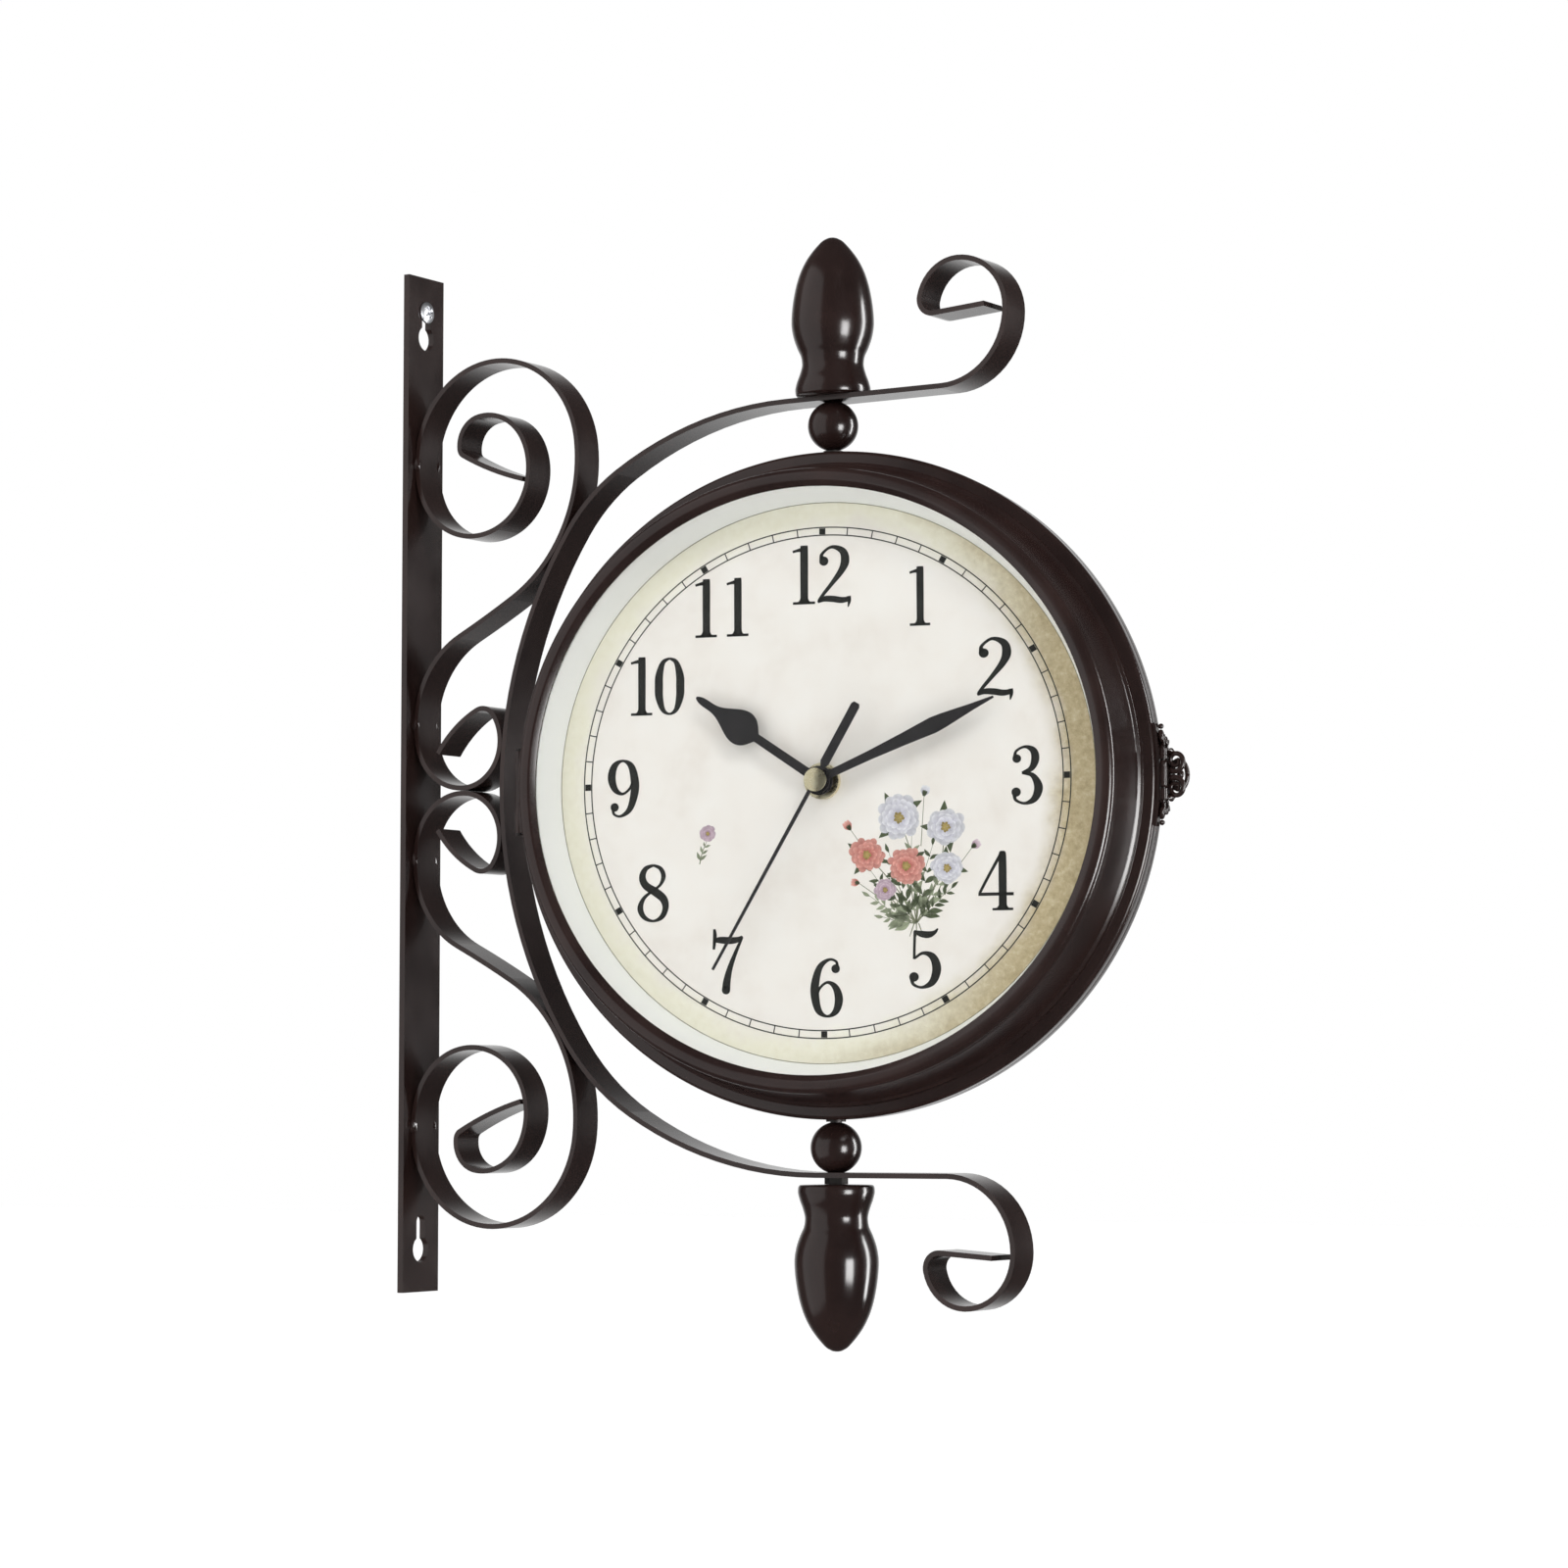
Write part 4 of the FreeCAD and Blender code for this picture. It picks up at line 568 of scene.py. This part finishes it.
def flower_print(sheet):
    """A plain posy: rayed flowers and buds on stems that fan out of one knot, and a lone flower."""
    stem = (0.21, 0.22, 0.14)
    olive = (0.085, 0.105, 0.055)
    sage = (0.27, 0.30, 0.20)
    white_tones = ((0.42, 0.40, 0.50), (0.80, 0.79, 0.81))
    coral = ((0.42, 0.085, 0.07), (0.78, 0.42, 0.36))
    lilac = ((0.33, 0.19, 0.27), (0.66, 0.54, 0.60))
    heart = (0.36, 0.27, 0.09)
    knot = (33.0, -49.0)
    heads = [
        (27.0, -13.0, 8.0, 12, white_tones, 1.0), (43.5, -16.5, 7.2, 11, white_tones, 0.85),
        (15.5, -25.5, 6.4, 13, coral, 0.9), (29.5, -29.5, 6.6, 14, coral, 1.0),
        (44.0, -30.5, 6.0, 11, white_tones, 0.9), (22.0, -37.5, 4.0, 10, lilac, 0.9),
    ]
    twigs = ((2.62, 19.0, sage), (2.3, 24.0, olive), (1.95, 26.0, olive), (1.62, 30.0, sage),
             (1.35, 27.0, olive), (1.02, 22.0, sage), (0.75, 17.0, olive), (2.95, 12.0, sage))
    for k, (angle, reach, tone) in enumerate(twigs):
        sprig(sheet, knot[0], knot[1], angle, reach, 5, 5.6, tone, stem, seed=k)
    for k, (x, z, radius, petals, tones, tilt) in enumerate(heads):
        bend = (0.5 * (knot[0] + x) + 0.08 * (z - knot[1]), 0.5 * (knot[1] + z))
        sheet.stroke([(*knot, 0.45), (*bend, 0.38), (x, z, 0.3)], stem, lift=0.014)
        for swing in (0.6, 2.1, 3.9):
            leaf(sheet, x, z, 1.25 * radius, swing + k, olive)
        flower(sheet, x, z, radius, petals, tones, heart, seed=10 + k, tilt=tilt)
    for x, z, size, turn, tones in ((9.5, -16.5, 3.2, 2.2, coral), (36.0, -5.5, 3.4, 1.3, white_tones),
                                    (53.0, -23.5, 3.2, 0.6, lilac), (12.5, -35.0, 2.8, 3.0, coral)):
        root = (0.6 * x + 0.4 * knot[0], 0.6 * z + 0.4 * knot[1])
        sheet.stroke([(*root, 0.3), (x, z, 0.2)], stem, lift=0.013)
        bud(sheet, x, z, size, turn, tones, olive)
    for k in (-1, 0, 1):
        stalk = [(knot[0] + 0.8 * k, knot[1], 0.45), (knot[0] + 2.4 * k, knot[1] - 4.4, 0.25)]
        sheet.stroke(stalk, stem, lift=0.016)
    sprig(sheet, -45.0, -27.5, 1.25, 8.5, 3, 3.4, sage, stem, seed=20)
    flower(sheet, -42.0, -17.0, 3.1, 9, lilac, heart, seed=30)


def printed_dial(side):
    """The figures with their track, and the flowers, as two pieces on one dial."""
    for label, drawings in (("figures", (numerals, minute_track)), ("flower_print", (flower_print,))):
        sheet = Print()
        for draw in drawings:
            draw(sheet)
        sheet.build(side + "_" + label, side, CARRIER[side], print_ink)


# ------------------------------------------------------------------ swept and turned pieces
def finish_piece(name, verts, faces, body, material):
    """A smooth mesh from points in millimetres of the row frame, fixed to a body."""
    thing = add_mesh(name, np.asarray(verts) * MM, faces)
    thing.data.materials.append(material)
    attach(thing, body)
    return thing


def blob(centre, radii, seed=0, rough=0.12):
    """Points and faces of a small lump: a sphere grid whose radius swells and dips by low waves."""
    u = np.linspace(0, math.pi, 14)[:, None]
    v = np.linspace(0, 2 * math.pi, 24, endpoint=False)[None, :]
    swell = np.sin(3 * v + seed) * np.sin(2 * u + 0.7 * seed)
    wave = 1 + rough * (swell + 0.5 * np.cos(5 * v - seed) * np.sin(u) ** 2)
    x = np.sin(u) * np.cos(v) * wave * radii[0] + centre[0]
    y = np.sin(u) * np.sin(v) * wave * radii[1] + centre[1]
    z = np.cos(u) * np.ones_like(v) * wave * radii[2] + centre[2]
    return np.stack([x, y, z], -1).reshape(-1, 3), grid_faces(14, 24, wrap_columns=True)


def tube(path, radius, around=12):
    """Points and faces of a round bar along a path: rings stand square to the path, on a frame that
    is carried along without twist, and the radius may differ from point to point."""
    path = np.asarray(path, float)
    radius = np.broadcast_to(np.asarray(radius, float), (len(path),))
    run = np.gradient(path, axis=0)
    run /= np.linalg.norm(run, axis=1)[:, None]
    first = np.cross(run[0], (0.3, 0.5, 0.8))
    sides = [first / np.linalg.norm(first)]
    for direction in run[1:]:
        side = sides[-1] - direction * np.dot(sides[-1], direction)
        sides.append(side / np.linalg.norm(side))
    sides = np.array(sides)
    other = np.cross(run, sides)
    a = np.linspace(0, 2 * math.pi, around, endpoint=False)[None, :, None]
    rings = path[:, None] + radius[:, None, None] * (np.cos(a) * sides[:, None] + np.sin(a) * other[:, None])
    start = np.repeat(path[:1], around, 0)[None]
    end = np.repeat(path[-1:], around, 0)[None]
    skin = np.concatenate([start, rings, end])
    return skin.reshape(-1, 3), grid_faces(len(path) + 2, around, wrap_columns=True)


def gather(parts):
    """Join several (points, faces) pairs into one."""
    verts, faces, count = [], [], 0
    for points, quads in parts:
        verts.append(points)
        faces.append(quads + count)
        count += len(points)
    return np.vstack(verts), faces


def head_to_row(x, y, z):
    """Head coordinates (x to the free side, y away from the front dial, z up) to the row frame, both in
    millimetres: a turn about the upright axis, then a shift."""
    x, y, z = (np.asarray(v, float) for v in (x, y, z))
    return np.stack(np.broadcast_arrays(AXIS_X + x * COS - y * SIN, x * SIN + y * COS, z - DROP), -1)


def round_corners(corners, steps=7):
    """Outline with rounded corners: each corner (r, d, radius) becomes an arc that touches both edges."""
    pts = np.array([c[:2] for c in corners], float)
    out = []
    for k, (r, d, radius) in enumerate(corners):
        here, before, after = pts[k], pts[k - 1], pts[(k + 1) % len(pts)]
        if not radius:
            out.append(here[None])
            continue
        u = (before - here) / np.linalg.norm(before - here)
        v = (after - here) / np.linalg.norm(after - here)
        half = 0.5 * math.acos(float(np.clip(u @ v, -1, 1)))
        cut = radius / math.tan(half)
        middle = here + (u + v) / np.linalg.norm(u + v) * radius / math.sin(half)
        a, b = here + u * cut - middle, here + v * cut - middle
        s = np.linspace(0, 1, steps)[:, None]
        chord = a * (1 - s) + b * s
        out.append(middle + chord / np.linalg.norm(chord, axis=1)[:, None] * radius)
    return np.vstack(out)


def spun_shell(side):
    """One half of the case, spun about the dial's axis: rim with a soft edge, a rolled bead at the foot
    of the coved wall, a full crest and the lip over the glass. The cove leans in evenly from its foot
    to its head, less a parabola 0.31 mm deep. Corners are (radius, depth, rounding)."""
    foot_r, foot_d = 109.5, 8.3
    lean_in, head_d = 3.05, 24.6
    cove = []
    for s in np.linspace(0.0, 1.0, 12)[1:-1]:
        cove.append((foot_r - lean_in * s - 0.31 * 4 * s * (1 - s), foot_d + (head_d - foot_d) * s, 0))
    corners = [
        (115.15, 0.06, 0.35), (115.15, 5.6, 1.7), (110.9, 6.15, 0.25), (110.6, 7.6, 0.65),
        (foot_r, foot_d, 0.3), *cove, (106.4, head_d, 0), (106.4, 28.85, 2.3), (102.2, 28.85, 1.6),
        (100.05, 27.5, 0.3), (100.05, 26.7, 0.2), (104.5, 26.7, 0), (105.1, 25.8, 0), (108.1, 7.0, 0),
        (114.0, 4.3, 0.3), (114.0, 0.06, 0),
    ]
    profile = round_corners(corners)
    around = 288
    a = np.linspace(0, 2 * math.pi, around, endpoint=False)[None]
    r, d = profile[:, :1], profile[:, 1:]
    verts = to_row(side, r * np.cos(a), r * np.sin(a), d + 0 * a).reshape(-1, 3) / MM
    faces = grid_faces(len(profile), around, wrap_rows=True, wrap_columns=True)
    thing = finish_piece(side + "_spun_shell", verts, [faces[:, ::-1]], CARRIER[side], enamel)
    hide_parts(side + "_shell")


def node_points(node):
    """Vertices of a frame node in millimetres."""
    mesh = frame["nodes"][node].data
    flat = np.empty(3 * len(mesh.vertices), np.float32)
    mesh.vertices.foreach_get("co", flat)
    return flat.reshape(-1, 3).astype(float) / MM


def weld_beads():
    """Small lumps on both edges of the bars where the scrolls touch the plate and the hoop. The places
    are the frame's own points that lie closest to the plate's face and to the hoop."""
    parts = []
    plate_face = node_points("wall_plate")[:, 0].max()
    hoop = node_points("hoop_bar")
    hoop = hoop[np.abs(hoop[:, 1]) > 6.0]
    for k, node in enumerate(("upper_scroll", "lower_scroll")):
        points = node_points(node)
        points = points[np.abs(points[:, 1]) > 6.0]
        near = points[points[:, 0] < plate_face + 0.35]
        heights = np.sort(near[:, 2])
        groups = np.split(heights, np.where(np.diff(heights) > 12)[0] + 1)
        for j, group in enumerate(groups):
            for y in (-5.6, 5.4):
                middle = (plate_face + 0.7, y, group.mean() + 0.4 * j)
                parts.append(blob(middle, (1.5, 1.8, 2.8), seed=k + 2 * j + y))
        gap = np.linalg.norm(points[:, None, ::2] - hoop[None, ::2, ::2], axis=-1)
        close = points[gap.min(1) < 0.7]
        for low, high in ((-400, -60), (60, 400)):
            some = close[(close[:, 2] > low) & (close[:, 2] < high)]
            if len(some):
                x, z = some[:, 0].mean(), some[:, 2].mean()
                for y in (-5.6, 5.4):
                    parts.append(blob((x, y, z), (1.7, 1.6, 2.4), seed=k + y))
    verts, faces = gather(parts)
    finish_piece("weld_beads", verts, faces, "bracket", enamel)


def wall_screw():
    """Pan head with a cross recess: the height falls with the radius by a power of 2.4, less a recess
    along two bars that narrow towards their ends. The last four rings are the head's edge, its
    underside and the shank."""
    edge = 4.0
    r = np.concatenate([np.linspace(0.0, edge, 26), [4.05, 4.0, 2.3, 2.3]])[:, None]
    a = np.linspace(0, 2 * math.pi, 96, endpoint=False)[None]
    dome = 3.95 - 0.95 * (np.minimum(r, edge) / edge) ** 2.4
    y, z = r * np.cos(a), r * np.sin(a)
    turn = 0.5
    bar_one = np.abs(y * math.cos(turn) + z * math.sin(turn))
    bar_two = np.abs(z * math.cos(turn) - y * math.sin(turn))
    arm = np.minimum(bar_one, bar_two)
    far = np.maximum(bar_one, bar_two)
    deep = 1.1 * np.clip((0.55 - arm) / 0.12, 0, 1) * np.clip((2.3 - far) / 0.9, 0, 1)
    height = dome - deep + 0 * a
    height[26:] = np.array([2.7, 2.45, 2.42, 0.1])[:, None]
    verts = np.stack([height, y, z + 173.0], -1).reshape(-1, 3)
    faces = [grid_faces(30, 96, wrap_columns=True)]
    finish_piece("wall_screw", verts, faces, "bracket", zinc)


def turned(name, profile, node, around=96):
    """A piece spun about the upright axis from (radius, height) points, in place of a bracket node."""
    profile = np.asarray(profile, float)
    a = np.linspace(0, 2 * math.pi, around, endpoint=False)[None]
    r, z = profile[:, :1], profile[:, 1:]
    verts = np.stack([AXIS_X + r * np.cos(a), r * np.sin(a), z + 0 * a], -1).reshape(-1, 3)
    faces = grid_faces(len(profile), around, wrap_columns=True)
    if profile[-1, 1] > profile[0, 1]:
        faces = faces[:, ::-1]
    thing = finish_piece(name, verts, [faces], "bracket", enamel)
    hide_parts(node)


def finials_and_balls():
    """Both bulbous finials, from one profile that is mirrored for the lower one, and the balls: spheres
    that end 8.35 mm from their middle, where the hoop's bar lies against them."""
    bulb = [(13.0, 126.6), (13.15, 127.6), (13.1, 129.0), (12.5, 131.3), (11.6, 133.8), (10.9, 136.3),
            (10.8, 138.0), (11.2, 140.3), (12.4, 143.0), (13.6, 146.4), (14.3, 150.0), (14.42, 153.2),
            (14.1, 157.4), (13.5, 161.5), (12.6, 165.7), (11.2, 170.0), (9.3, 173.9), (7.2, 177.0),
            (5.2, 179.4), (3.6, 181.0), (1.9, 182.0)]
    foot = [(2.0, 125.85), (12.5, 126.05)]
    tip = [(0.9, 182.25), (0.0, 182.3)]
    outline = np.vstack([foot, smooth_path(bulb, 8), tip])
    turned("upper_bulb", outline, "upper_finial")
    turned("lower_bulb", outline * (1, -1) - (0, 20.2), "lower_finial")
    ball_r, flat = 8.8, 8.35
    a = np.linspace(math.acos(flat / ball_r), math.pi - 0.02, 60)
    for side, middle, sign in (("upper", 115.65, 1), ("lower", -133.65, -1)):
        arc = np.stack([ball_r * np.sin(a), middle + sign * ball_r * np.cos(a)], 1)
        turned(side + "_bead", arc, side + "_ball")


def second_blades():
    """The long arm of each second hand: a bar that narrows from 1.3 to 0.9 mm, round its thin core."""
    angle = math.radians(-120.155)
    low, high = 20.86, 21.44
    for side in FACING:
        s = np.linspace(3.0, 74.1, 24)[:, None]
        half = 0.65 - 0.20 * (s - 3.0) / 71.1
        across = np.array([[-1, -1, 1, 1]]) * half
        depth = np.array([[low, high, high, low]]) + 0 * s
        x = s * math.cos(angle) - across * math.sin(angle)
        z = s * math.sin(angle) + across * math.cos(angle)
        verts = to_row(side, x, z, depth).reshape(-1, 3) / MM
        faces = [grid_faces(24, 4, wrap_columns=True), np.array([[0, 1, 2, 3], [95, 94, 93, 92]])]
        thing = finish_piece(side + "_second_blade", verts, faces, side + "_second", lacquer)
        thing.data.polygons.foreach_set("use_smooth", [False] * len(thing.data.polygons))


def volute(centre_x, centre_z, y, start, end, turns, first, sign, thick):
    """A spiral bar in the plane across the rim: the winding radius shrinks evenly from start to end,
    the bar thins with it and the plane leans a little along y."""
    s = np.linspace(0, 1, 44)
    a = first + turns * 2 * math.pi * s
    r = start + (end - start) * s
    x = centre_x + r * np.cos(a)
    z = sign * (centre_z + r * np.sin(a) * 1.15)
    return tube(head_to_row(x, y + 1.2 * s, z), thick * (1 - 0.35 * s), around=14)


# Radius of the outer face of the latch leaves, which lie on the rim.
LEAF_FACE = 116.3


def rim_curl(base_z, sign, y, reach, turns, thick):
    """A volute that lies on the rim: it runs along the rim, then winds in on itself."""
    s = np.linspace(0, 1, 40)
    a = turns * 2 * math.pi * s
    wind = reach * (1 - 0.78 * s)
    r = LEAF_FACE + 0.5 + 1.1 * s
    theta = (base_z + sign * (reach - wind * np.cos(a) + 1.2 * s)) / r
    path = head_to_row(r * np.cos(theta), y + 0.62 * wind * np.sin(a), r * np.sin(theta))
    return tube(path, thick * (1 - 0.35 * s))


def latch_ornament():
    """Volutes on both latch leaves, and the pierced grip of the flap: a lens-shaped leaf on a knuckle,
    with two pairs of spirals, a bow at either end, an oval loop, a boss and end drops."""
    plate, catch, grip = [], [], []
    for sign in (1, -1):
        plate.append(rim_curl(sign * 8.6, sign, -2.6, 3.1, 1.35, 1.0))
        plate.append(blob(head_to_row(116.4, -2.6, sign * 16.2), (0.9, 1.1, 0.9), seed=sign, rough=0.06))
        catch.append(rim_curl(sign * 8.4, sign, 2.8, 2.2, 1.3, 0.85))
        grip.append(volute(120.9, 4.5, -1.6, 3.2, 0.7, 1.5, -2.2, sign, 0.95))
        grip.append(volute(119.9, 3.1, 2.6, 2.1, 0.5, 1.3, 2.4, sign, 0.75))
        s = np.linspace(0, 1, 20)
        bow = head_to_row(118.4 + 1.6 * np.sin(math.pi * s), 8.0 * s - 4.4, sign * (8.2 - 1.4 * s))
        grip.append(tube(bow, 0.7))
        grip.append(blob(head_to_row(119.0, 0.4, sign * 7.9), (1.0, 1.3, 1.1), seed=sign, rough=0.08))
    a = np.linspace(0, 2 * math.pi, 49)
    grip.append(tube(head_to_row(121.3 + 2.75 * np.cos(a), 1.9 + 0.7 * np.cos(a), 4.9 * np.sin(a)), 0.85))
    grip.append(blob(head_to_row(122.2, 0.6, 0.0), (1.2, 1.4, 1.5), rough=0.05))
    grip.append(blob(head_to_row(117.6, 0.3, 0.0), (0.8, 5.7, 8.4), rough=0.03))
    grip.append(tube(head_to_row(117.65 + np.zeros(9), -5.0, np.linspace(-4.4, 4.4, 9)), 1.15))
    for label, parts, body in (("plate_volutes", plate, "front_door"), ("catch_volutes", catch, "head"),
                               ("flap_grip", grip, "hasp_flap")):
        verts, faces = gather(parts)
        piece = finish_piece(label, verts, faces, body, enamel)
        if label == "flap_grip":
            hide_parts("hasp")


for side in CARRIER:
    printed_dial(side)
for side in CARRIER:
    spun_shell(side)
finials_and_balls()
second_blades()
weld_beads()
wall_screw()
latch_ornament()

# ------------------------------------------------------------------ stage: floor, light, camera
WHITE = (1.0, 1.0, 1.0, 1.0)


def pale_floor():
    """A wide sheet below the clock that keeps its shadow. Its glow, which brings it up to white, is
    there for camera rays alone and throws no light on the clock."""
    half, height = 14.0, -0.62
    corners = [(-half, -half, height), (half, -half, height), (half, half, height), (-half, half, height)]
    floor = add_mesh("floor", corners, [[[0, 1, 2, 3]]], smooth=False)
    material, nodes, links, surface = new_material("pale floor")
    tone = ramp(nodes, links, noise(nodes, links, 3.0), [(0.3, (0.965,) * 3), (0.7, (0.975,) * 3)])
    links.new(tone, surface.inputs["Base Color"])
    surface.inputs["Roughness"].default_value = 0.9
    surface.inputs["Emission Color"].default_value = WHITE
    camera_ray = nodes.new("ShaderNodeLightPath").outputs["Is Camera Ray"]
    glow = remap(nodes, links, camera_ray, 0.0, 1.0, 0.0, 0.26)
    links.new(glow, surface.inputs["Emission Strength"])
    floor.data.materials.append(material)
    floor.visible_glossy = False


def studio():
    """White for the camera and a little less as light on the clock. Mirrored rays find white behind the
    clock that fades to dim in front: its strength eases from 0.08 to 1 as the cosine between the ray
    and the camera's view goes from 0.70 to 1."""
    world = bpy.data.worlds.new("studio")
    bpy.context.scene.world = world
    world.use_nodes = True
    nodes = world.node_tree.nodes
    links = world.node_tree.links
    nodes.clear()
    path = nodes.new("ShaderNodeLightPath")

    def backdrop(strength):
        """A plain white background of one strength."""
        shader = nodes.new("ShaderNodeBackground")
        shader.inputs["Color"].default_value = WHITE
        shader.inputs["Strength"].default_value = strength
        return shader

    def for_rays(kind, others, these):
        """One background for a kind of ray and another for all others."""
        node = nodes.new("ShaderNodeMixShader")
        links.new(path.outputs[kind], node.inputs["Fac"])
        links.new(others, node.inputs[1])
        links.new(these, node.inputs[2])
        return node.outputs["Shader"]

    seen = backdrop(1.0)
    lit = backdrop(0.83)
    mirrored = backdrop(1.0)
    bearing = nodes.new("ShaderNodeVectorMath")
    bearing.operation = "DOT_PRODUCT"
    links.new(nodes.new("ShaderNodeTexCoord").outputs["Generated"], bearing.inputs[0])
    bearing.inputs[1].default_value = (-0.526, 0.850, 0.0)
    behind = remap(nodes, links, bearing.outputs["Value"], 0.70, 1.0, 0.08, 1.0, smooth=True)
    links.new(behind, mirrored.inputs["Strength"])
    first = for_rays("Is Glossy Ray", lit.outputs["Background"], mirrored.outputs["Background"])
    last = for_rays("Is Camera Ray", first, seen.outputs["Background"])
    links.new(last, nodes.new("ShaderNodeOutputWorld").inputs["Surface"])


def soft_light(name, azimuth, elevation, distance, wide, tall, power):
    """A rectangular lamp that faces the clock from a bearing (degrees from +X towards +Y)."""
    lamp = bpy.data.lights.new(name, "AREA")
    lamp.shape = "RECTANGLE"
    lamp.size = wide
    lamp.size_y = tall
    lamp.energy = power
    thing = bpy.data.objects.new(name, lamp)
    bpy.context.scene.collection.objects.link(thing)
    a, e = math.radians(azimuth), math.radians(elevation)
    away = np.array([math.cos(e) * math.cos(a), math.cos(e) * math.sin(a), math.sin(e)])
    thing.location = np.array([AXIS_X * MM, 0, 0]) + away * distance
    thing.rotation_euler = Vector(away).to_track_quat("Z", "Y").to_euler()
    return thing


def lamps():
    """A wide panel on the left, two lamps that light without highlights, and two that give highlights
    alone."""
    soft_light("left_panel", -128.5, 6.0, 2.4, 3.5, 4.4, 33.0)
    soft_light("key", -36.0, 40.0, 2.2, 0.5, 0.8, 11.5).visible_glossy = False
    soft_light("top", -60.0, 80.0, 2.2, 1.6, 1.6, 6.5).visible_glossy = False
    soft_light("right_box", -22.5, -9.0, 2.2, 0.8, 0.9, 42.0).visible_diffuse = False
    soft_light("right_strip", 38.0, 0.0, 2.2, 0.36, 1.9, 44.0).visible_diffuse = False


# The camera fitted to the photograph: picture width, focal length and optical middle in its pixels,
# place in metres, and turns in radians.
PICTURE = 1600.0
FOCAL = 4433.6
OPTICAL_X, OPTICAL_Y = 826.70, 628.79
EYE = (0.95972, -1.27638, -0.11528)
YAW, PITCH, ROLL = 0.55446, 0.10948, -0.00358


def photo_camera():
    """The camera at the photograph's viewing angle: its view is turned by the yaw about +Z and raised
    by the pitch, and its right and up are then rolled about it."""
    camera = bpy.data.cameras.new("view")
    camera.sensor_fit = "HORIZONTAL"
    camera.sensor_width = 36.0
    camera.lens = FOCAL / PICTURE * 36.0
    camera.shift_x = -(OPTICAL_X - PICTURE / 2) / PICTURE
    camera.shift_y = (OPTICAL_Y - PICTURE / 2) / PICTURE
    camera.clip_start = 0.05
    thing = bpy.data.objects.new("view", camera)
    bpy.context.scene.collection.objects.link(thing)
    forward = np.array([-math.sin(YAW) * math.cos(PITCH), math.cos(YAW) * math.cos(PITCH), math.sin(PITCH)])
    level = np.array([math.cos(YAW), math.sin(YAW), 0.0])
    square = np.cross(level, forward)
    right = math.cos(ROLL) * level + math.sin(ROLL) * square
    up = math.cos(ROLL) * square - math.sin(ROLL) * level
    columns = np.column_stack([right, up, -forward, EYE])
    thing.matrix_world = Matrix(np.vstack([columns, (0, 0, 0, 1)]).tolist())
    bpy.context.scene.camera = thing


pale_floor()
studio()
lamps()
photo_camera()
bpy.context.scene.view_settings.view_transform = "Standard"
